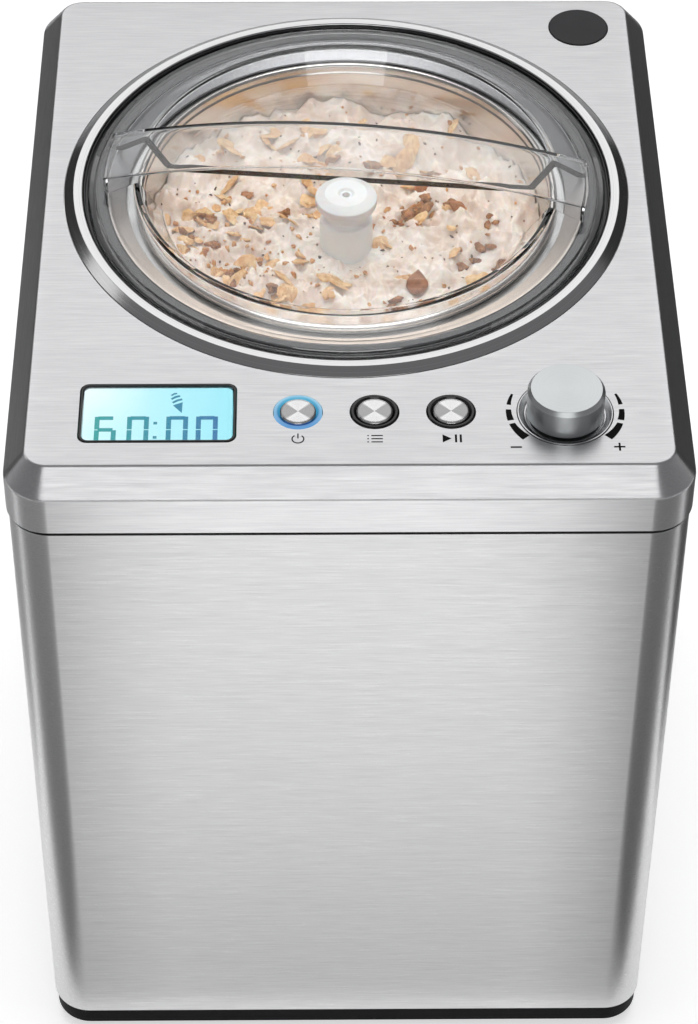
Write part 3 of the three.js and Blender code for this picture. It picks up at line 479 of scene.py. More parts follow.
steel = brushed("brushed_steel", (0.68, 0.68, 0.69), (0.78, 0.78, 0.785), (0.28, 0.34))
panel_steel = brushed("brushed_body_steel", (0.62, 0.62, 0.62), (0.72, 0.72, 0.72), (0.27, 0.33))
bezel_metal = turned_metal("bezel_metal", AXIS, (0.62, 0.62, 0.62), (0.78, 0.78, 0.78), (0.12, 0.2),
                           0.3, 3000)
bowl_metal = turned_metal("bowl_aluminium", AXIS, (0.70, 0.67, 0.64), (0.84, 0.81, 0.78), (0.16, 0.26),
                          0.4, 1800)
well_metal = turned_metal("well_aluminium", AXIS, (0.6, 0.6, 0.6), (0.75, 0.75, 0.75), (0.25, 0.4), 0.2, 1200)
black_plastic = plain("black_plastic", (0.004, 0.004, 0.004), (0.007, 0.007, 0.008), (0.5, 0.62), grain=1500,
                      Specular_IOR_Level=0.08)
gloss_black = plain("gloss_black_trim", (0.006, 0.006, 0.006), (0.014, 0.014, 0.015), (0.10, 0.18), grain=900,
                    bump=0.03)
rubber = plain("rubber", (0.012, 0.012, 0.012), (0.03, 0.03, 0.03), (0.65, 0.85), grain=2200, bump=0.2)
silicone = plain("silicone", (0.030, 0.031, 0.033), (0.045, 0.046, 0.048), (0.45, 0.6), grain=1200)
zinc = plain("zinc_plate", (0.48, 0.48, 0.50), (0.64, 0.64, 0.66), (0.3, 0.45), 1.0, 300)
copper = plain("copper_pipe", (0.62, 0.30, 0.18), (0.80, 0.44, 0.28), (0.22, 0.4), 1.0, 500)
fin_metal = plain("fin_aluminium", (0.62, 0.62, 0.63), (0.78, 0.78, 0.79), (0.28, 0.42), 1.0, 700)
enamel = plain("black_enamel", (0.02, 0.02, 0.021), (0.035, 0.035, 0.037), (0.3, 0.5), grain=800)
foam = plain("insulation_foam", (0.70, 0.64, 0.47), (0.84, 0.79, 0.64), (0.8, 0.95), grain=900, bump=0.6)
board_green = plain("circuit_board", (0.02, 0.13, 0.06), (0.03, 0.19, 0.09), (0.3, 0.45), grain=500)
white_plastic = plain("white_plastic", (0.74, 0.75, 0.75), (0.84, 0.85, 0.85), (0.3, 0.42), grain=600,
                      Subsurface_Weight=0.35, Subsurface_Scale=0.008)
badge_face = plain("badge_charcoal", (0.020, 0.020, 0.022), (0.028, 0.028, 0.030), (0.36, 0.46), grain=1800,
                   Specular_IOR_Level=0.3)
print_black = plain("printed_black", (0.005, 0.005, 0.005), (0.010, 0.010, 0.010), (0.75, 0.85), grain=1500,
                    Specular_IOR_Level=0.1)


def lid_frost(look):
    """Mask of the matt shoulder, left clear where the bar crosses it."""
    radius, out = look.radius_from(AXIS)
    turn = math.radians(LID_TURN)
    across = look.math("ABSOLUTE", look.vector("DOT_PRODUCT", out, (-math.sin(turn), math.cos(turn), 0), 1))
    inner = look.math("GREATER_THAN", radius, 85.2 * MM)
    outer = look.math("LESS_THAN", radius, 95.0 * MM)
    beside = look.math("GREATER_THAN", across, 15.2 * MM)
    return look.math("MULTIPLY", look.math("MULTIPLY", inner, outer), beside)


lid_plastic = clear_plastic("clear_lid", (0.985, 0.99, 0.99), lid_frost)
window_plastic = clear_plastic("display_glass", (0.98, 0.99, 0.99), ior=1.2)


# ---------------------------------------------------------------- casing

CHAMFER = 8.4  # width of the cover's sloped edge
BEZEL_FLANGE = 4.8  # of the rim bezel, under the cover


def casing_ring(inset, tighter, z):
    """Ring at an inset from the cover's outline, its corner radius smaller by a given amount."""
    outline = rounded_rect(HALF_X - inset, HALF_Y - inset, CORNER - tighter, steps=14)
    return [(x, y, z) for x, y in outline]


def casing_section(inset, z):
    """Ring round the cover at a given inset; its corners tighten towards the flat top."""
    return casing_ring(inset, inset * 8 / CHAMFER, z)


def build_cover():
    band_top = PLATE - 10.5
    profile = fillet([(SHEET, COVER_LOW.z), (0, COVER_LOW.z, 0.5), (0, band_top, 2.2), (CHAMFER, PLATE, 1.6),
                      (14, PLATE)], closed=False)
    rings = [casing_section(inset, z) for inset, z in profile]
    holes = [circle(high("rim_bezel").x - BOWL_X - BEZEL_FLANGE + GAP, AXIS)]
    for name in ("knob_dish", "blank_badge", "button_ring_power", "button_ring_menu", "button_ring_start"):
        holes.append(circle(half_size(name)[0] + GAP, centre(name), 72))
    frame_x, frame_y = half_size("display_frame")
    holes.append(rounded_rect(frame_x + GAP, frame_y + GAP, 3.8, centre("display_frame"), 8))
    cover = sheet_with_holes("steel_top_cover", rings, PLATE, holes)
    thickened(cover, SHEET)
    piece(shaded(cover, 40), "housing", steel, "steel", "top_cover")


def build_wrap():
    inset = HALF_X - high("body_wrap").x
    hy = high("body_wrap").y
    panel_low, panel_high = low("rear_panel"), high("rear_panel")
    half_window = panel_high.x - PANEL_LAP
    outline = rounded_rect(HALF_X - inset, hy, CORNER - inset, steps=14)
    ring = []
    for i, point in enumerate(outline):
        ring.append(point)
        after = outline[(i + 1) % len(outline)]
        if point[1] > hy - 0.01 and after[1] > hy - 0.01 and point[0] - after[0] > 50:
            ring += [(half_window, hy), (-half_window, hy)]
    levels = [low("body_wrap").z, panel_low.z + PANEL_LAP, panel_high.z - PANEL_LAP, high("body_wrap").z]
    n = len(ring)
    corners = [(x, y, z) for z in levels for x, y in ring]
    faces = []
    for r in range(len(levels) - 1):
        for k in range(n):
            m = (k + 1) % n
            rear = ring[k][1] > hy - 0.01 and ring[m][1] > hy - 0.01
            window = rear and abs(ring[k][0] + ring[m][0]) < 1 and ring[k][0] <= half_window + 0.01
            if r != 1 or not window:
                faces.append([r * n + k, r * n + m, (r + 1) * n + m, (r + 1) * n + k])
    wrap = Shape().add(corners, faces).object("steel_body_wrap")
    work = bmesh.new()
    work.from_mesh(wrap.data)
    if sum(f.normal.dot(f.calc_center_median()) for f in work.faces) < 0:
        bmesh.ops.reverse_faces(work, faces=work.faces)
    work.to_mesh(wrap.data)
    work.free()
    thickened(wrap, SHEET)
    eased(wrap, 0.3)
    piece(shaded(wrap, 40), "housing", panel_steel, "steel", "body_wrap")


def build_base():
    tray_low, tray_high = low("base_tray"), high("base_tray")
    inset = HALF_X - tray_high.x
    rim_top = low("body_wrap").z - GAP
    lip = 2.4
    border = inset + 6
    profile = fillet([(border, tray_low.z), (inset, tray_low.z, 1.6), (inset, rim_top, 0.4), (lip, rim_top),
                      (lip, tray_high.z, 0.4), (lip + 2.5, tray_high.z, 0.4), (lip + 2.5, tray_low.z + 3)],
                     closed=False)
    rings = [casing_ring(i, i, z) for i, z in profile]
    rim = Shape().loft(rings + [rings[0]], caps=False).object("black_base_rim")
    piece(shaded(rim), "housing", black_plastic, "black", "base_tray")

    level = tray_low.z + 0.2
    vents = [rounded_rect(23, 2.5, 2.4, (50, i * 12), 4) for i in range(-4, 5)]
    tray = sheet_with_holes("black_base_floor", [casing_ring(border, border, level)], level, vents)
    thickened(tray, -2.6)
    piece(shaded(tray), "housing", black_plastic, "black")

    for name in ("foot_front_left", "foot_front_right", "foot_rear_left", "foot_rear_right"):
        top = high(name).z
        outline = fillet([(0, 0.5), (4.6, 0.5, 0.3), (5.4, 0, 0.2), (8.6, 0, 0.7), (10, top - 1.6, 0.4),
                          (10, top, 0.3), (0, top)], closed=False)
        foot = Shape().lathe(outline, centre(name), 48, closed=False).object("rubber_" + name)
        piece(shaded(foot), "housing", rubber, "rubber", name)


def upright(outline, y):
    """An outline of (x, z) as a ring at a depth."""
    return [(x, y, z) for x, z in outline]


def build_rear():
    panel_low, panel_high = low("rear_panel"), high("rear_panel")
    hx = panel_high.x - PANEL_LAP - GAP
    z0, z1 = panel_low.z + PANEL_LAP + GAP, panel_high.z - PANEL_LAP - GAP
    hz, at = (z1 - z0) / 2, (0, (z0 + z1) / 2)
    inlet_low, inlet_high = low("power_inlet"), high("power_inlet")
    middle = ((inlet_low.x + inlet_high.x) / 2, (inlet_low.z + inlet_high.z) / 2)
    holes = [rounded_rect(35, 2, 1.9, (side * 43, z1 + GAP - 16 - row * 9), 4)
             for row in range(9) for side in (-1, 1)]
    holes.append(rounded_rect(15.3, 12.3, 1.0, middle, 4))
    border = [(x, z, 0) for x, z in rounded_rect(hx, hz, 3, at, 4)]
    panel = sheet_with_holes("painted_rear_panel", [border], 0, holes)
    thickened(panel, 1.8)
    eased(panel, 0.35)
    back = panel_high.y
    stand = Matrix(((1, 0, 0, 0), (0, 0, 1, back * MM), (0, 1, 0, 0), (0, 0, 0, 1)))
    panel.data.transform(stand)
    panel.data.flip_normals()
    piece(shaded(panel), "housing", enamel, "painted", "rear_panel")

    outer, inner = (rounded_rect(hx + more, hz + more, 3, at, 4) for more in (PANEL_LAP, -1))
    front, rear = panel_low.y, panel_low.y + 1.6
    rows = [upright(outer, front), upright(outer, rear), upright(inner, rear), upright(inner, front)]
    flange = Shape().loft(rows + [rows[0]], caps=False)
    piece(shaded(flange.object("rear_panel_flange")), "housing", enamel, "painted")

    face = inlet_high.y
    cut = 5  # off the socket's two upper corners
    x0, x1, q0, q1 = middle[0] - 15, middle[0] + 15, middle[1] - 12, middle[1] + 12
    outer = [(x0, q0), (x1, q0), (x1, q1 - cut), (x1 - cut, q1), (x0 + cut, q1), (x0, q1 - cut)]
    inner = [(x0 + 3, q0 + 3.5), (x1 - 3, q0 + 3.5), (x1 - 3, q1 - cut - 2.5), (x1 - 2 - cut, q1 - 3.5),
             (x0 + 2 + cut, q1 - 3.5), (x0 + 3, q1 - cut - 2.5)]
    outer, inner = (fillet([(x, z, 1.2) for x, z in outline]) for outline in (outer, inner))
    socket = Shape().loft([upright(outer, inlet_low.y), upright(outer, face - 0.4),
                           upright(offset(outer, -0.4), face), upright(offset(inner, 0.4), face),
                           upright(inner, face - 0.4), upright(inner, face - 16)]).object("inlet_socket")
    piece(shaded(socket), "housing", black_plastic, "black", "power_inlet")
    pins = Shape()
    for dx, up in ((-7, -2), (0, 2), (7, -2)):
        x, z = middle[0] + dx, middle[1] + up
        pins.block(x - 1, face - 17, z - 2, x + 1, face - 3, z + 2, 0.35)
    piece(shaded(pins.object("inlet_pins")), "housing", zinc, "zinc")

    screws = Shape()
    head = fillet([(0, 0.2), (0.9, 0.2, 0.1), (1.2, 0.9, 0.2), (3.4, 0.6, 0.5), (3.6, -0.3)], closed=False)
    for x in (5 - hx, hx - 5):
        for z in (z0 + 5, z1 - 5):
            part = Shape().lathe(head + [(0, -0.3)], (0, 0), 24, closed=False)
            part.moved(Matrix.Translation((x, back, z)) @ Matrix.Rotation(math.radians(-90), 4, "X"))
            screws.add(part.corners, part.faces)
    piece(shaded(screws.object("rear_screws")), "housing", zinc, "zinc")


# ---------------------------------------------------------------- rim, well and bowl

def build_rim():
    flange = high("rim_bezel").x - BOWL_X
    outer = flange - BEZEL_FLANGE
    crest, inner = outer - 3.8, outer - 7.5
    top = high("rim_bezel").z
    under = PLATE - 1.5
    outline = fillet([(inner, under - 2, 0.3), (flange, under - 2, 0.3), (flange, under, 0.3), (outer, under),
                      (outer, PLATE + 0.15, 0.3), (crest, top, 0.7), (inner, top, 0.7)])
    bezel = Shape().lathe(outline, segments=FINE_ROUND).object("metal_rim_bezel")
    piece(shaded(bezel), "housing", bezel_metal, "bezel", "rim_bezel")

    trim_outer = high("well_trim").x - BOWL_X
    trim_inner, slope_top, step = 88.6, 97.0, 105.7
    bottom = low("well_trim").z
    ledge = PLATE + 0.1
    outline = fillet([(trim_inner, bottom, 0.3), (trim_outer, bottom, 0.3), (trim_outer, PLATE + 1.8, 0.4),
                      (step, PLATE + 1.8, 0.4), (step, ledge, 0.2), (slope_top, ledge, 0.2),
                      (slope_top - 0.4, ledge - 0.9), (trim_inner, PLATE - 3.9, 0.3)])
    trim = Shape().lathe(outline, segments=FINE_ROUND).object("black_well_trim")
    piece(shaded(trim), "housing", gloss_black, "black", "well_trim")

    outline = fillet([(trim_inner - 0.2, PLATE - 3.9, 0.3), (slope_top - 0.4, ledge - 0.8),
                      (slope_top, ledge + 0.05, 0.3), (slope_top - 1.0, ledge + 0.05, 0.8),
                      (trim_inner, PLATE - 3.0, 0.9)])
    funnel = Shape().lathe(outline, segments=FINE_ROUND).object("satin_funnel_ring")
    # Painted light: the front of the ring is coloured peach and made mostly non-metallic, standing in for the
    # glow of the ice cream through the frosted shoulder; the back stays darker grey metal.
    satin = Look("satin_funnel", Anisotropic=0.2)
    out = satin.radius_from(AXIS)[1]
    toward = satin.component(satin.vector("NORMALIZE", out), 1)
    front = satin.span(toward, -0.80, 0.10, 1, 0)
    fine = satin.span(satin.noise(satin.place(), 900, 3), 0.3, 0.7, 0, 1)
    satin.set(Base_Color=satin.mix(front, satin.mix(fine, (0.30, 0.30, 0.31), (0.38, 0.38, 0.39)),
                                   satin.mix(fine, (0.84, 0.71, 0.62), (0.90, 0.78, 0.69))),
              Metallic=satin.span(front, 0, 1, 1, 0.15), Roughness=satin.span(fine, 0, 1, 0.34, 0.42))
    satin.bump(fine, 0.02)
    piece(shaded(funnel), "housing", satin.material, "aluminium")

    well_low, well_high = low("cooling_well"), high("cooling_well")
    flange_r = well_high.x - BOWL_X
    wall = 84.2  # inner radius
    bottom = well_low.z
    outline = fillet([(9, bottom), (wall + 1.5, bottom, 3), (wall + 1.5, well_high.z - 1.5, 0.6),
                      (flange_r, well_high.z - 1.5, 0.3), (flange_r, well_high.z, 0.3),
                      (wall, well_high.z, 0.9), (wall, bottom + 1.5, 1.5), (9, bottom + 1.5)])
    well = Shape().lathe(outline).object("aluminium_cooling_well")
    piece(shaded(well), "housing", well_metal, "aluminium", "cooling_well")


def build_bowl():
    top, bottom = high("bowl").z, low("bowl").z
    floor = bottom + BOWL_FLOOR
    wall = BOWL_INNER + 1.4
    roll = BOWL_INNER + 3.4
    hub_top = floor + HUB
    mouth = BOWL_INNER + 0.5
    outline = fillet([(6.2, bottom, 0.3), (wall - 8, bottom, 3), (wall, bottom + 8, 8),
                      (wall, top - 3.6, 0.5), (roll - 1.2, top - 3.4, 0.8), (roll, top - 2.4, 1.2),
                      (roll, top - 0.9, 1.2),
                      (roll - 1.3, top, 1.2), (BOWL_INNER + 1.3, top, 0.9), (mouth, top - 0.9, 0.5),
                      (mouth, top - 3.2, 0.4), (BOWL_INNER, top - 4, 0.6), (BOWL_INNER, floor + 9, 9),
                      (BOWL_INNER - 8.5, floor, 6), (12, floor, 2), (9, floor + 4, 1.5), (8, hub_top, 0.6),
                      (6.2, hub_top, 0.3)])
    bowl = Shape().lathe(outline, segments=FINE_ROUND).object("aluminium_bowl")
    piece(shaded(bowl), "bowl", bowl_metal, "aluminium", "bowl")


def build_paddle():
    head_top = high("paddle").z
    foot = low("paddle").z
    bore_top = low("bowl").z + BOWL_FLOOR + HUB + 0.5
    socket_top = PLATE - 62 + 1
    column_top = PLATE - 16.5
    skirt, column_r, neck = 13, 10.9, 8.6
    outline = fillet([(0, socket_top), (5.5, socket_top), (5.5, bore_top), (9.8, bore_top), (9.5, foot + 5),
                      (skirt - 0.8, foot + 1), (skirt - 0.8, foot), (skirt, foot, 0.4), (skirt, foot + 36, 2),
                      (column_r, foot + 40, 4), (column_r, column_top, 0.9), (9.4, column_top + 0.3, 0.4),
                      (neck, column_top + 1.0, 0.4), (neck, head_top - 7.2, 0.8), (11.6, head_top - 6.0, 0.7),
                      (12.6, head_top - 5.0, 0.7), (12.6, head_top - 1.9, 0.8), (10.6, head_top - 0.9, 0.8),
                      (neck, head_top, 1.2), (3.4, head_top, 1.0), (2.4, head_top - 0.9, 0.5),
                      (1.5, head_top - 0.9, 0.3), (1.5, head_top - 4), (0, head_top - 4)], closed=False)
    column = Shape().lathe(outline, segments=96, closed=False)
    root, reach = 10.2, 80.4
    stations, brace_stations = 28, 12
    for bearing in (35, 215):
        turn = Matrix.Translation((*AXIS, 0)) @ Matrix.Rotation(math.radians(bearing), 4, "Z")
        arm = Shape()
        rings = []
        for k in range(stations + 1):
            t = k / stations
            x = root + (reach - root) * t
            inner_edge = foot + 14 + 58 * min(1, max(0, (x - (reach - 15)) / 9)) ** 0.7
            sweep = 2.2 * math.sin(math.pi * t)
            thick = 1.5 - 0.5 * t
            bottom = foot + 6 * max(0, (x - reach + 12) / 12) ** 2
            rings.append([(x, sweep - thick, bottom), (x, sweep + thick, bottom),
                          (x, sweep + thick * 0.8, inner_edge), (x, sweep - thick * 0.8, inner_edge)])
        arm.loft(rings)
        brace = []
        for k in range(brace_stations + 1):
            t = k / brace_stations
            bow = math.sin(math.pi * t)
            brace.append((root + (reach - 6 - root) * t, 2.2 * bow, foot + 64 + 3 * bow))
        arm.tube(brace, 2.4, 10)
        arm.moved(turn)
        column.add(arm.corners, arm.faces)
    paddle = column.object("white_paddle")
    piece(shaded(paddle), "paddle", white_plastic, "white", "paddle")


# ---------------------------------------------------------------- ice cream

def surface_height(x, y):
    """Level of the ice cream, from the bowl's axis, in millimetres."""
    r = math.hypot(x, y)
    base = PLATE - 31.5 + 7.5 * (r / BOWL_INNER) ** 2 + 0.02 * y
    p = Vector((x, y, 0))
    warp = Vector((noise.noise(p / 14), noise.noise(p / 14 + Vector((9, 0, 0))), 0)) * 6
    cells = noise.voronoi((p + warp) / 17)[0][0]
    small = noise.voronoi((p + warp * 0.5) / 7.5 + Vector((4, 4, 0)))[0][0]
    swirl = noise.fractal(p / 21 + Vector((2, 7, 0)), 0.9, 2.1, 5)
    crumble = noise.fractal(p / 4 + Vector((5, 1, 0)), 0.7, 2.2, 4)
    rise = 10.0 * (0.58 - min(cells, 1.1)) + 5.0 * (0.5 - min(small, 1.0)) + 6.5 * swirl + 1.5 * crumble
    near_column = min(1, max(0, (r - 9) / 14))
    return base + rise * (0.35 + 0.65 * near_column)


def build_ice_cream():
    wall = BOWL_INNER - GAP
    rings, segments = 150, 420
    corners = [(BOWL_X, BOWL_Y, surface_height(0, 0))]
    for i in range(1, rings + 1):
        r = wall * (i / rings) ** 0.82
        for k in range(segments):
            a = 2 * math.pi * k / segments
            x, y = r * math.cos(a), r * math.sin(a)
            corners.append((BOWL_X + x, BOWL_Y + y, surface_height(x, y)))
    bottom = low("bowl").z + 12
    for k in range(segments):
        a = 2 * math.pi * k / segments
        corners.append((BOWL_X + wall * math.cos(a), BOWL_Y + wall * math.sin(a), bottom))
    faces = [[0, 1 + k, 1 + (k + 1) % segments] for k in range(segments)]
    for i in range(rings):
        for k in range(segments):
            m = (k + 1) % segments
            a, b = 1 + i * segments, 1 + (i + 1) * segments
            faces.append([a + k, b + k, b + m, a + m])
    faces.append([1 + rings * segments + k for k in range(segments)])
    cream = Shape().add(corners, faces).object("ice_cream")
    look = Look("ice_cream", Subsurface_Weight=0.45, Subsurface_Scale=0.004, Specular_IOR_Level=0.45)
    broad = look.noise(look.place(), 70, 5)
    fine = look.noise(look.place(), 420, 5, 0.65)
    specks = look.node("ShaderNodeTexVoronoi", {"Vector": look.place(), "Scale": 260.0}).outputs["Distance"]
    tone = look.mix(look.span(broad, 0.32, 0.68, 0, 1), (0.72, 0.57, 0.475), (0.92, 0.845, 0.785))
    dots = look.span(specks, 0.10, 0.16, 1, 0)
    chosen = look.math("GREATER_THAN", look.noise(look.place((1, 1, 1), (7, 0, 0)), 120, 2), 0.56)
    rare = look.math("MULTIPLY", dots, chosen)
    look.set(Base_Color=look.mix(rare, tone, (0.25, 0.12, 0.05)),
             Roughness=look.span(fine, 0.3, 0.7, 0.32, 0.6), Subsurface_Radius=(1.0, 0.6, 0.35))
    look.bump(fine, 0.5, 0.0006)
    piece(shaded(cream, 180, False), "bowl", look.material)


def lump(shape, at, size, turn, rough, seed, detail=2):
    """An uneven ball, stretched to size and turned."""
    work = bmesh.new()
    bmesh.ops.create_icosphere(work, subdivisions=detail, radius=1)
    shift = Vector((seed * 1.37, seed * 0.73, seed * 2.11))
    corners = []
    for v in work.verts:
        broad, fine = noise.noise(v.co * 1.6 + shift), noise.noise(v.co * 4.1 + shift)
        p = v.co * (1 + rough * broad + 0.4 * rough * fine)
        p = Vector((p.x * size[0], p.y * size[1], p.z * size[2]))
        corners.append(tuple(turn @ p + at))
    faces = [[v.index for v in f.verts] for f in work.faces]
    work.free()
    shape.add(corners, faces)


def resting(x, y, sink):
    return Vector((BOWL_X + x, BOWL_Y + y, surface_height(x, y) - sink))


def any_turn(rng, tilt):
    yaw = Matrix.Rotation(rng.uniform(0, 2 * math.pi), 3, "Z")
    lean = Matrix.Rotation(rng.uniform(-tilt, tilt), 3, "X")
    return yaw @ lean @ Matrix.Rotation(rng.uniform(-tilt, tilt), 3, "Y")


def nut_look(name, dark, light, vein, rough=(0.4, 0.6)):
    look = Look(name, Subsurface_Weight=0.15, Subsurface_Scale=0.002)
    broad = look.noise(look.place(), 240, 4)
    lines = look.noise(look.place((900, 350, 350)), 1, 4, 0.7)
    tone = look.mix(look.span(broad, 0.35, 0.65, 0, 1), dark, light)
    look.set(Base_Color=look.mix(look.span(lines, 0.5, 0.72, 0, 0.8), tone, vein),
             Roughness=look.span(lines, 0.3, 0.7, rough[0], rough[1]))
    look.bump(lines, 0.5, 0.0005)
    return look.material


def build_nuts():
    rng = random.Random(11)
    column_room = 13  # radius kept free round the paddle

    def free_spot(spread):
        while True:
            r = spread * math.sqrt(rng.random())
            a = rng.uniform(0, 2 * math.pi)
            x, y = r * math.cos(a), r * math.sin(a)
            if r > column_room:
                return x, y

    toasted = Shape()
    brown_places = (
        (28, 18, 7.5), (34, 28, 5.5), (50, -13, 5.5), (57, -8, 4.5), (-45, -20, 4.5), (-38, -10, 4.0),
        (22, 12, 4.0), (-54, -6, 3.5), (12, 40, 4.5), (-40, 30, 4.0), (60, 10, 3.5), (-6, 52, 4.0),
        (44, 22, 4.0), (-20, -52, 3.8), (8, -46, 3.5), (-58, 12, 5.0), (-30, -34, 4.2), (-66, -2, 4.0),
        (36, 44, 5.0), (-26, 14, 4.2), (20, -38, 3.6), (62, -18, 4.0), (-48, -30, 4.0),
    )
    for i, (x, y, size) in enumerate(brown_places):
        for k in range(3):
            dx, dy = rng.uniform(-0.6, 0.6) * size, rng.uniform(-0.5, 0.5) * size
            s = size * rng.uniform(0.45, 0.7)
            extent = (s, s * rng.uniform(0.6, 0.8), s * rng.uniform(0.45, 0.6))
            lump(toasted, resting(x + dx, y + dy, -0.25 * s), extent, any_turn(rng, 0.8), 0.5, i * 3 + k, 3)
    piece(shaded(toasted.object("toasted_nut_pieces"), 50, False), "bowl",
          nut_look("toasted_nut", (0.16, 0.055, 0.016), (0.42, 0.17, 0.055), (0.62, 0.36, 0.16)))

    almond = Shape()
    for x, y, turn, size in ((28.5, -31, 84, 13.0), (33, 36, 20, 9.0), (46, 16, 150, 8.5)):
        rings = []
        for i in range(15):
            t = i / 14
            swell = math.sin(math.pi * t ** 1.35) ** 0.75 * size * 0.34
            ring = []
            for k in range(28):
                a = 2 * math.pi * k / 28
                ridge = 1 + 0.05 * math.cos(7 * a + 0.7 * t)
                across, up = swell * ridge * math.cos(a), swell * 0.62 * ridge * math.sin(a)
                ring.append(((t - 0.5) * size, across, up))
            rings.append(ring)
        part = Shape().loft(rings)
        turned = (Matrix.Translation(resting(x, y, -1.6)) @ Matrix.Rotation(math.radians(turn + 180), 4, "Z")
                  @ Matrix.Rotation(0.22, 4, "Y"))
        part.moved(turned)
        almond.add(part.corners, part.faces)
    piece(shaded(almond.object("whole_almonds"), 60, False), "bowl",
          nut_look("almond_skin", (0.22, 0.075, 0.028), (0.40, 0.155, 0.06), (0.52, 0.27, 0.13),
                   (0.45, 0.65)))

    slices = Shape()
    for i in range(120):
        x, y = free_spot(77)
        if rng.random() < 0.4:
            x, y = -abs(x), y - 4
        s = rng.uniform(2.4, 6.2)
        extent = (s, s * rng.uniform(0.55, 0.85), rng.uniform(0.5, 0.9))
        lump(slices, resting(x, y, -0.5), extent, any_turn(rng, 0.75), 0.35, 100 + i, 3 if s > 3.6 else 2)
    piece(shaded(slices.object("almond_slices"), 60, False), "bowl",
          nut_look("almond_slice", (0.66, 0.36, 0.15), (0.86, 0.62, 0.36), (0.42, 0.16, 0.05)))

    crumbs = Shape()
    for i in range(230):
        x, y = free_spot(80)
        if rng.random() < 0.35:
            x, y = -46 + rng.gauss(0, 16), -14 + rng.gauss(0, 13)
            if math.hypot(x, y) > 79:
                continue
        s = rng.uniform(0.5, 1.5) * (1.5 if rng.random() < 0.15 else 1)
        lump(crumbs, resting(x, y, -0.2 * s), (s, s * rng.uniform(0.5, 0.9), s * rng.uniform(0.4, 0.8)),
             any_turn(rng, 1.2), 0.6, 300 + i, 2 if s > 1.2 else 1)
    piece(shaded(crumbs.object("nut_crumbs"), 60, False), "bowl",
          nut_look("nut_crumb", (0.45, 0.17, 0.05), (0.78, 0.45, 0.19), (0.20, 0.07, 0.02)))

    dark = Shape()
    for i in range(110):
        x, y = free_spot(80)
        s = rng.uniform(0.35, 0.9)
        lump(dark, resting(x, y, -0.1), (s * 1.4, s * 0.8, s * 0.6), any_turn(rng, 1.0), 0.5, 900 + i, 1)
    piece(shaded(dark.object("dark_specks"), 60, False), "bowl",
          nut_look("dark_speck", (0.035, 0.018, 0.012), (0.10, 0.05, 0.03), (0.18, 0.10, 0.06)))


# ---------------------------------------------------------------- lid

def height_block(half_width, end_radius, edge, top, bottom, stations=90):
    """A solid along X between two height functions of (x, y), with its ends on a circle."""
    ys = [half_width - edge * f for f in (0, 0.12, 0.35, 0.65, 1.0)] + [half_width - edge - 2.5, 6, 3, 0]
    ys = [-y for y in ys] + ys[-2::-1]
    n = len(ys)
    corners = []
    for k in range(stations + 1):
        s = -1 + 2 * k / stations
        for y in ys:
            x = s * math.sqrt(end_radius ** 2 - y ** 2)
            over = max(0, abs(y) - (half_width - edge))
            drop = edge - math.sqrt(max(0, edge ** 2 - over ** 2))
            corners += [(x, y, top(x, y) - drop), (x, y, bottom(x, y))]

    def index(k, j, under):
        return (k * n + j) * 2 + under

    faces = []
    for k in range(stations):
        for j in range(n - 1):
            faces.append([index(k, j, 0), index(k + 1, j, 0), index(k + 1, j + 1, 0), index(k, j + 1, 0)])
            faces.append([index(k, j, 1), index(k, j + 1, 1), index(k + 1, j + 1, 1), index(k + 1, j, 1)])
        for j, flip in ((0, 1), (n - 1, 0)):
            face = [index(k, j, 0), index(k, j, 1), index(k + 1, j, 1), index(k + 1, j, 0)]
            faces.append(face if flip else face[::-1])
    for k, flip in ((0, 0), (stations, 1)):
        for j in range(n - 1):
            face = [index(k, j, 0), index(k, j + 1, 0), index(k, j + 1, 1), index(k, j, 1)]
            faces.append(face if not flip else face[::-1])
    return Shape().add(corners, faces)


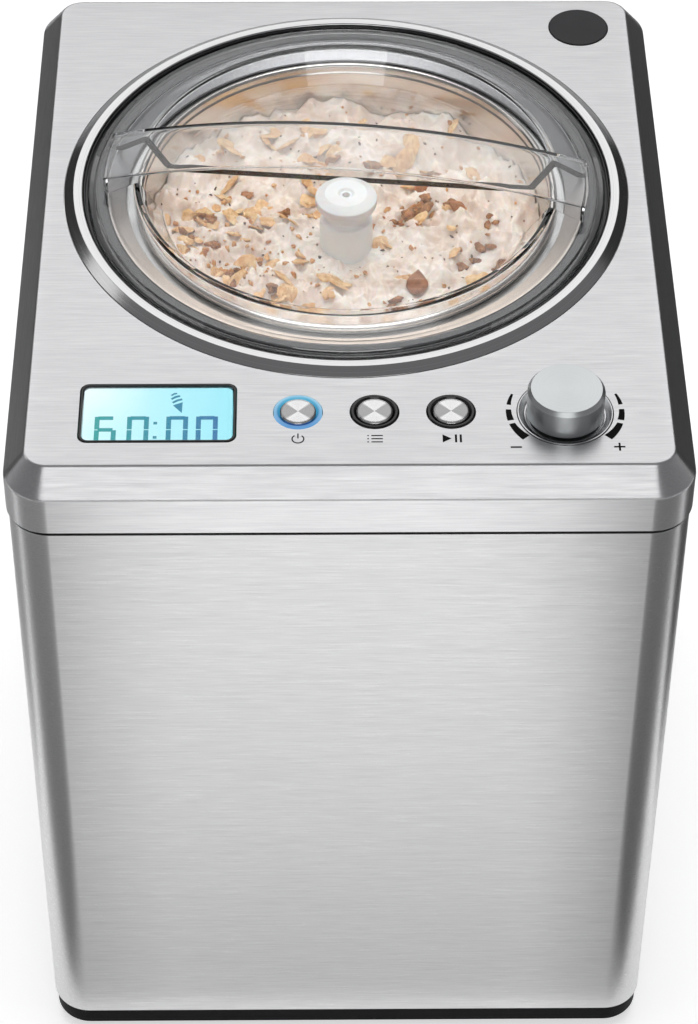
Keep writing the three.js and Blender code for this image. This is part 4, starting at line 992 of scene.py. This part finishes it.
def build_lid():
    rim = 104.9  # outer radius
    seat = PLATE + 0.4
    dish_outline = fillet([
        (0, PLATE - 7.9), (76.5, PLATE - 7.9, 1.5), (85.0, PLATE + 5.5, 1.0), (94.1, seat, 0.6),
        (97.2, seat), (97.2, seat + 1.1), (100.8, seat + 1.1), (100.8, seat), (rim, seat, 0.3),
        (rim, PLATE + 1.3, 0.4), (104.0, PLATE + 1.7, 0.3), (102.0, PLATE + 2.2, 0.3),
        (101.2, PLATE + 2.6, 0.3), (96.2, PLATE + 2.0, 0.4), (95.1, PLATE + 2.4, 0.4),
        (85.0, PLATE + 7.9, 0.7), (83.7, PLATE + 7.9, 0.4), (75.0, PLATE - 5.9, 1.5), (0, PLATE - 5.9)
    ], closed=False)
    dish = Shape().lathe(dish_outline, (0, 0), 180, closed=False).object("clear_lid")

    half, length, end_height, middle_height, wall = 14.9, 98.0, 8.8, 21.5, 1.3
    rise = middle_height - end_height
    arc = (length ** 2 + rise ** 2) / (2 * rise)

    def arch(x, y):
        return PLATE + middle_height - arc + math.sqrt(arc ** 2 - x ** 2)

    def inside_dish(x, y):
        r = math.hypot(x, y)
        knots = ((0, -6.9), (75.7, -6.9), (84.3, 6.4), (94.6, 1.4), (110, 1.2))
        for (r0, z0), (r1, z1) in zip(knots, knots[1:]):
            if r <= r1:
                return PLATE + z0 + (z1 - z0) * (r - r0) / (r1 - r0)
        return PLATE + 1.2

    bar = height_block(half, length, 0.6, arch, inside_dish).object("bar")
    hollow = height_block(half - wall, length - 1.8, 0.4, lambda x, y: arch(x, y) - wall,
                          lambda x, y: PLATE - 12).object("hollow")
    combined(dish, bar, "UNION")
    combined(dish, hollow, "DIFFERENCE")
    crown = PLATE + middle_height
    outline = fillet([(0, crown - 0.5), (1.9, crown - 0.5), (1.9, crown - 0.01, 0.1),
                      (1.3, crown - 0.01, 0.1), (0.9, crown - 0.7, 0.2), (0, crown - 0.8)], closed=False)
    gate = Shape().lathe(outline, (0, 0), 32, closed=False).object("gate")
    combined(dish, gate, "UNION")
    turn = Matrix.Rotation(math.radians(LID_TURN), 4, "Z")
    dish.data.transform(Matrix.Translation((BOWL_X * MM, BOWL_Y * MM, 0)) @ turn)
    piece(shaded(dish, 28, False), "lid", lid_plastic, "clear", "lid")

    inner, outer = 97.7, 100.7
    z0, z1 = low("lid_seal").z, high("lid_seal").z
    seal = Shape().lathe(fillet([(inner, z0, 0.25), (outer, z0, 0.25), (outer, z1, 0.25), (inner, z1, 0.25)]))
    piece(shaded(seal.object("silicone_lid_seal")), "lid_seal", silicone, "silicone", "lid_seal")


# ---------------------------------------------------------------- controls

def build_buttons():
    r = 6.9
    ring_inner, ring_outer = 7.2, 9.15
    for name in ("power", "menu", "start"):
        at = centre("button_" + name)
        top = high("button_" + name).z
        stem = low("button_" + name).z
        outline = fillet([(0, stem), (2.5, stem), (2.5, PLATE - 6.2), (r, PLATE - 6.2, 0.2),
                          (r, top - 0.5, 0.35), (r - 0.7, top, 0.3), (r - 1.0, top - 0.12, 0.1),
                          (0, top - 0.35)], closed=False)
        cap = Shape().lathe(outline, at, 96, closed=False).object("metal_button_" + name)
        # The caps carry painted shade: their left and right sides are darkened, standing in for the dark
        # sides of the bow-tie reflection.
        look = turned_metal("button_metal_" + name, at, (0.80, 0.80, 0.80), (0.92, 0.92, 0.92), (0.22, 0.3),
                            0.85, 3600, painted_reflection_wedge=0.75)
        piece(shaded(cap), name + "_button", look, "knob", "button_" + name)

        ring = "button_ring_" + name
        ring_top = high(ring).z
        outline = fillet([(ring_inner, low(ring).z, 0.1), (ring_outer, low(ring).z, 0.1),
                          (ring_outer, PLATE + 0.1, 0.2), (ring_outer - 0.45, ring_top, 0.25),
                          (ring_inner + 0.7, ring_top, 0.2), (ring_inner, PLATE - 0.4, 0.2)])
        collar = Shape().lathe(outline, at, 96).object("collar_" + name)
        if name != "power":
            piece(shaded(collar), "housing", gloss_black, "black", ring)
            continue
        glow = Look("blue_glow", Roughness=0.25, Emission_Strength=0.7, Base_Color=(0.02, 0.07, 0.16))
        radius, out = glow.radius_from(at)
        depth = glow.component(glow.vector("NORMALIZE", out), 1)
        front = glow.span(depth, -0.9, 0.8, 0, 1)
        edge = glow.span(radius, 7.4 * MM, 8.9 * MM, 0, 1)
        tone = glow.mix(edge, glow.mix(front, (0.01, 0.06, 0.26), (0.08, 0.50, 0.74)),
                        glow.mix(front, (0.16, 0.42, 0.80), (0.50, 0.84, 0.98)))
        glow.set(Emission_Color=tone)
        glow.bump(glow.noise(glow.place(), 1500, 2), 0.05)
        piece(shaded(collar), "housing", glow.material, "blue_light", ring)


def stroke(shape, points, width, z0, z1):
    """A flat line of a given width through points."""
    n = len(points)
    left, right = [], []
    for i in range(n):
        here = Vector(points[i])
        before_it, after_it = points[max(i - 1, 0)], points[min(i + 1, n - 1)]
        along = (Vector(after_it) - Vector(before_it)).normalized()
        across = Vector((-along.y, along.x)) * (width / 2)
        left.append(here + across)
        right.append(here - across)
    first = len(shape.corners)
    for z in (z0, z1):
        shape.corners += [(p.x, p.y, z) for p in left] + [(p.x, p.y, z) for p in right]
    up = 2 * n
    for i in range(n - 1):
        l0, l1, r0, r1 = first + i, first + i + 1, first + n + i, first + n + i + 1
        shape.faces += [[l0, l1, r1, r0][::-1], [l0 + up, l1 + up, r1 + up, r0 + up],
                        [l0, l0 + up, l1 + up, l1], [r0, r1, r1 + up, r0 + up]]
    for i in (first, first + n - 1):
        shape.faces.append([i, i + n, i + n + up, i + up])


def turned_point(at, radius, degrees):
    a = math.radians(degrees)
    return at[0] + radius * math.cos(a), at[1] + radius * math.sin(a)


def build_marks():
    """Printed marks: level ticks round the knob, minus and plus, and an icon under each button."""
    z0, z1 = PLATE - 0.06, PLATE + 0.05
    marks = Shape()
    kx, ky = centre("knob")
    outer, steps = 22.4, 8
    for side in (-1, 1):
        for first, last, inner, end in ((-42, -17, 18.9, 20.1), (-12, 4, 19.9, 20.4), (11, 27, 20.7, 21.5)):
            ring = []
            for k in range(steps + 1):
                a = math.radians(first + (last - first) * k / steps)
                ring.append((kx + side * outer * math.cos(a), ky + outer * math.sin(a)))
            for k in reversed(range(steps + 1)):
                t = k / steps
                a = math.radians(first + (last - first) * t)
                thin = inner + (end - inner) * t
                ring.append((kx + side * thin * math.cos(a), ky + thin * math.sin(a)))
            marks.prism(ring, z0, z1)
    low_y = ky - 19.0
    stroke(marks, [(kx - 21.4, low_y), (kx - 17.2, low_y)], 0.75, z0, z1)
    stroke(marks, [(kx + 17.2, low_y), (kx + 21.4, low_y)], 0.75, z0, z1)
    stroke(marks, [(kx + 19.3, low_y - 2.1), (kx + 19.3, low_y + 2.1)], 0.75, z0, z1 + 0.01)

    icon_y = centre("button_ring_power")[1] - 14.6
    line = 0.5
    x = centre("button_ring_power")[0]
    stroke(marks, [turned_point((x, icon_y), 2.2, a) for a in range(125, 416, 15)], line, z0, z1)
    stroke(marks, [(x, icon_y + 0.3), (x, icon_y + 2.9)], line, z0, z1)
    x = centre("button_ring_menu")[0]
    for dy in (-1.7, 0, 1.7):
        stroke(marks, [(x - 1.4, icon_y + dy), (x + 2.9, icon_y + dy)], line, z0, z1)
        stroke(marks, [(x - 2.9, icon_y + dy), (x - 2.3, icon_y + dy)], line, z0, z1)
    x = centre("button_ring_start")[0]
    marks.prism([(x - 3.6, icon_y - 2.1), (x - 0.3, icon_y), (x - 3.6, icon_y + 2.1)], z0, z1)
    for dx in (1.4, 3.2):
        stroke(marks, [(x + dx, icon_y - 2.1), (x + dx, icon_y + 2.1)], 0.8, z0, z1)
    piece(marks.object("printed_marks"), "housing", print_black, "black")


def build_knob():
    at = centre("knob")
    top = high("knob").z
    bottom = low("knob").z
    r = 14.65
    outline = fillet([(0, top - 3.7), (3.3, top - 3.7), (3.3, bottom), (r - 0.9, bottom, 0.2),
                      (r, bottom + 0.9, 0.4), (r, top - 1.6, 0.15), (r - 1.2, top, 0.12),
                      (0, top)], closed=False)
    knob = Shape().lathe(outline, at, 128, closed=False).object("metal_knob")
    look = turned_metal("knob_aluminium", at, (0.66, 0.685, 0.69), (0.70, 0.725, 0.73), (0.34, 0.38),
                        0.2, 3000)
    piece(shaded(knob), "knob", look, "knob", "knob")

    outer = half_size("knob_dish")[0]
    bottom = low("knob_dish").z
    outline = fillet([(4.3, bottom), (outer, bottom, 0.2), (outer, PLATE + 0.2, 0.2),
                      (outer - 0.5, PLATE + 0.3, 0.15), (15.4, PLATE - 1.3, 0.3), (14.9, PLATE - 1.3, 0.2),
                      (14.6, PLATE - 1.6), (4.3, PLATE - 1.6)])
    dish = Shape().lathe(outline, at, 128).object("metal_knob_dish")
    look = turned_metal("dish_metal", at, (0.60, 0.60, 0.61), (0.74, 0.74, 0.75), (0.16, 0.26), 0.4, 3400)
    piece(shaded(dish), "housing", look, "knob", "knob_dish")


def flat(outline, z):
    """An outline of (x, y) as a ring at a height."""
    return [(x, y, z) for x, y in outline]


def build_display():
    x, y = centre("display_window")
    top_z = high("display_window").z
    hx, hy = half_size("display_window")
    outer = rounded_rect(hx, hy, 2.5, (x, y), 8)
    glass = Shape().loft([flat(outer, top_z - 0.7), flat(outer, top_z - 0.3),
                          flat(offset(outer, -0.3), top_z)])
    piece(shaded(glass.object("clear_display_window")), "housing", window_plastic, "clear", "display_window")

    outer = rounded_rect(*half_size("display_frame"), 3.6, (x, y), 8)
    inner = rounded_rect(hx + GAP, hy + GAP, 2.8, (x, y), 8)
    z0, z1 = low("display_frame").z, high("display_frame").z
    rows = [flat(outer, z0), flat(outer, z1 - 0.3), flat(offset(outer, -0.3), z1),
            flat(offset(inner, 0.2), z1), flat(inner, z1 - 0.2), flat(inner, z0)]
    bezel = Shape().loft(rows + [rows[0]], caps=False)
    piece(shaded(bezel.object("black_display_frame")), "housing", gloss_black, "black", "display_frame")

    lcd_low, lcd_high = low("lcd_module"), high("lcd_module")
    face = top_z - 0.9
    edge = rounded_rect(hx - 0.05, hy - 0.05, 2.45, (x, y), 8)
    body = Shape().loft([flat(edge, lcd_low.z), flat(edge, face)])
    look = Look("lcd_backlight", Roughness=0.35, Emission_Strength=0.85, Base_Color=(0.10, 0.16, 0.18))
    across = look.span(look.component(look.place(), 0), lcd_low.x * MM, lcd_high.x * MM, 0, 1)
    up = look.span(look.component(look.place(), 1), lcd_low.y * MM, lcd_high.y * MM, 0, 1)
    haze = look.noise(look.place(), 90, 3)
    tone = look.mix(look.math("POWER", across, 0.7), (0.66, 0.92, 0.95), (0.24, 0.72, 0.82))
    bright = look.math("MULTIPLY", look.span(across, 0, 0.45, 1, 0), look.span(up, 0.2, 1.0, 0, 1))
    tone = look.mix(look.math("MULTIPLY", bright, look.span(haze, 0.3, 0.7, 0.5, 1)), tone, (0.93, 0.99, 1.0))
    look.set(Emission_Color=tone)
    look.bump(haze, 0.02)
    piece(shaded(body.object("lcd_panel")), "housing", look.material, "lcd", "lcd_module")

    ink = Shape()
    z, ink_top = face, face + 0.08
    left, top = x - hx, y + hy
    floor = y - hy + 0.2
    wide, tall, thick, gap = 8.2, 7.3, 1.85, 0.25

    def bar(x0, y0, x1, y1):
        y0 = max(y0, floor)
        if y1 - y0 > 0.2:
            ink.block(x0, y0, z, x1, y1, ink_top)

    def digit(offset_x, parts):
        x0, y1 = left + offset_x, top - 15.6
        if "a" in parts:
            bar(x0 + thick * 0.7, y1 - thick, x0 + wide - thick * 0.7, y1)
        for key, sx, row in (("f", 0, 0), ("b", 1, 0), ("e", 0, 1), ("c", 1, 1)):
            if key in parts:
                xa = x0 + sx * (wide - thick)
                bar(xa, y1 - tall * (row + 1) + gap, xa + thick, y1 - tall * row - gap)
        if "g" in parts:
            bar(x0 + thick * 0.7, y1 - tall - thick / 2, x0 + wide - thick * 0.7, y1 - tall + thick / 2)

    digit(4.5, "afgec")
    for start in (16.7, 31.4, 42.6):
        digit(start, "abfec")
    for down in (19.9, 27.6):
        bar(left + 26.6, top - down - 0.1, left + 28.0, top - down + 1.2)
    cx, cy = left + 34.9, top - 5.6
    for dx, dy, long, width in ((-0.9, 2.0, 2.4, 0.75), (-0.3, 0.3, 3.6, 0.95), (0.4, -1.6, 4.0, 0.95)):
        at = (cx + dx, cy + dy)
        ends = [turned_point(at, -long / 2, 28), (at[0], at[1] + 0.35), turned_point(at, long / 2, 28)]
        stroke(ink, ends, width, z, ink_top)
    ink.prism([(cx - 1.2, cy - 4.0), (cx + 2.4, cy - 2.3), (cx + 2.2, cy - 8.2)], z, ink_top)
    look = Look("lcd_segments", Roughness=0.4, Emission_Strength=1.1, Base_Color=(0.002, 0.01, 0.014))
    across = look.span(look.component(look.place(), 0), left * MM, (left + 2 * hx) * MM, 0, 1)
    look.set(Emission_Color=look.mix(across, (0.001, 0.30, 0.27), (0.001, 0.11, 0.32)))
    look.bump(look.noise(look.place(), 900, 2), 0.02)
    piece(ink.object("lcd_segments"), "housing", look.material, "lcd")


def build_badge():
    at = centre("blank_badge")
    r = half_size("blank_badge")[0]
    top, bottom = high("blank_badge").z, low("blank_badge").z
    outline = fillet([(0, bottom), (r, bottom, 0.1), (r, top - 0.1, 0.25), (r - 0.5, top, 0.2), (0, top)],
                     closed=False)
    badge = Shape().lathe(outline, at, 96, closed=False).object("charcoal_badge")
    piece(shaded(badge), "housing", badge_face, "badge", "blank_badge")


# ---------------------------------------------------------------- inner pieces kept from CAD

KEPT = (
    (black_plastic, ("top_frame", "switch_power", "switch_menu", "switch_start", "fan_frame", "fan_rotor")),
    (rubber, ("shaft_seal", "compressor_grommet_1", "compressor_grommet_2", "compressor_grommet_3")),
    (copper, ("evaporator_coil", "filter_drier", "discharge_tube", "liquid_tube", "capillary_tube",
              "suction_tube")),
    (foam, ("insulation_jacket",)),
    (board_green, ("control_board", "power_board")),
    (zinc, ("encoder_shaft", "encoder", "gearbox_housing", "gearbox_cover", "shaft_bush", "drive_shaft",
            "motor_pinion", "drive_motor", "drive_bracket")),
    (white_plastic, ("output_gear", "idler_gear")),
    (enamel, ("compressor",)),
    (fin_metal, ("condenser",)),
)


def dress_kept_nodes():
    for material, names in KEPT:
        for name in names:
            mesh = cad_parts[name].data
            mesh.materials.clear()
            mesh.materials.append(material)


# ---------------------------------------------------------------- set and camera

def area_light(name, at, target, size, radiance):
    light = bpy.data.lights.new(name, "AREA")
    light.shape = "RECTANGLE"
    light.size, light.size_y = size
    light.energy = radiance * math.pi * size[0] * size[1]
    obj = linked(name, light)
    obj.location = at
    obj.rotation_euler = (Vector(target) - Vector(at)).to_track_quat("-Z", "Y").to_euler()
    return obj


def card(name, at, size, facing, material):
    """A flat studio card that lights and is mirrored, but isn't seen itself."""
    work = bmesh.new()
    bmesh.ops.create_grid(work, x_segments=1, y_segments=1, size=0.5)
    mesh = bpy.data.meshes.new(name)
    work.to_mesh(mesh)
    work.free()
    obj = linked(name, mesh)
    obj.scale = (size[0], size[1], 1)
    obj.location = at
    obj.rotation_euler = Vector(facing).to_track_quat("Z", "Y").to_euler()
    mesh.materials.append(material)
    obj.visible_camera = False
    return obj


UP = (0, 0, 1)


def build_front_sweep():
    """Floor card before the machine, out of the picture, that falls off to both sides."""
    look = Look("front_sweep", Roughness=0.8)
    where = look.node("ShaderNodeNewGeometry").outputs["Position"]
    x = look.component(where, 0)
    away = look.span(look.component(where, 1), -0.165, -1.165, 0, 1)
    spread = look.math("MULTIPLY", away, 0.08)
    leftward = look.math("SUBTRACT", look.math("MULTIPLY", x, -1.0), spread)
    rightward = look.math("SUBTRACT", x, spread)
    level = look.span(leftward, 0.075, 0.125, 1, 0.66)
    for fall in (look.span(leftward, 0.122, 0.150, 1, 0.30), look.span(rightward, 0.080, 0.118, 1, 0.64),
                 look.span(rightward, 0.115, 0.150, 1, 0.20),
                 look.span(look.noise(where, 3, 3), 0.3, 0.7, 0.97, 1.03)):
        level = look.math("MULTIPLY", level, fall)
    look.set(Base_Color=look.mix(level, (0.03, 0.03, 0.03), (0.86, 0.86, 0.86)), Emission_Color=(1, 1, 1),
             Emission_Strength=look.math("MULTIPLY", level, look.span(away, 0.06, 0.30, 0.33, 0.72)))
    card("front_sweep", (0, -0.865, 0.003), (2.4, 1.4), UP, look.material)


def build_set():
    scene = bpy.context.scene
    scene.view_settings.view_transform = "Standard"
    world = bpy.data.worlds.new("studio")
    scene.world = world
    world.use_nodes = True
    background = world.node_tree.nodes["Background"]
    background.inputs[0].default_value = (0.17, 0.17, 0.175, 1)
    background.inputs[1].default_value = 1.0

    white = plain("floor", (0.86, 0.86, 0.86), (0.88, 0.88, 0.88), (0.6, 0.8), bump=0.0,
                  Emission_Color=(1, 1, 1), Emission_Strength=0.55)
    card("floor", (0, 0, 0), (12, 12), UP, white).visible_camera = True

    top = Vector((0, 0.02, PLATE * MM))

    def towards(elevation, distance):
        a = math.radians(elevation)
        return top + distance * Vector((0, math.cos(a), math.sin(a)))

    area_light("back_softbox", towards(48, 2.0), top, (2.2, 1.5), 1.0)
    overhead = area_light("overhead", (0, 0.1, 2.6), (0, 0, 0), (1.6, 1.2), 4.0)
    overhead.visible_glossy = False
    area_light("left_high", (-1.65, 0.95, 1.4), top, (1.2, 0.8), 0.8)
    area_light("front_softbox", towards(149, 2.6), top, (1.8, 0.9), 1.6)
    for name, at, size, facing, tone in (
            ("left_card", (-1.0, 0.8, 0.35), (0.9, 1.4), (1, -0.8, 0), 0.05),
            ("right_card", (1.0, 0.8, 0.35), (0.9, 1.4), (-1, -0.8, 0), 0.04),
            ("left_floor", (-0.77, 0.7, 0.002), (1.0, 1.6), UP, 0.55),
            ("right_floor", (0.77, 0.7, 0.002), (1.0, 1.6), UP, 0.10)):
        grey = (tone, tone, tone)
        card(name, at, size, facing, plain(name, grey, grey, (0.8, 0.9)))
    build_front_sweep()


def build_camera():
    camera = bpy.data.cameras.new("camera")
    camera.lens = 114.4
    camera.sensor_width = 36
    obj = linked("camera", camera)
    width = 2 * HALF_X * MM
    distance = 5.4905 * width
    yaw, pitch, roll = math.radians(-0.784), math.radians(45.0), math.radians(0.339)
    target = Vector((0.0063 * width, 0, 0.6465 * width + low("base_tray").z * MM))
    back = Vector((math.sin(yaw) * math.cos(pitch), -math.cos(yaw) * math.cos(pitch), math.sin(pitch)))
    right = Vector((math.cos(yaw), math.sin(yaw), 0))
    up = back.cross(right)
    rolled_right = math.cos(roll) * right + math.sin(roll) * up
    rolled_up = -math.sin(roll) * right + math.cos(roll) * up
    place = Matrix((rolled_right, rolled_up, back)).transposed().to_4x4()
    place.translation = target + back * distance
    obj.matrix_world = place
    camera.dof.use_dof = False
    bpy.context.scene.camera = obj


build_cover()
build_wrap()
build_base()
build_rear()
build_rim()
build_bowl()
build_paddle()
build_ice_cream()
build_nuts()
build_lid()
build_buttons()
build_marks()
build_knob()
build_display()
build_badge()
dress_kept_nodes()
build_set()
build_camera()
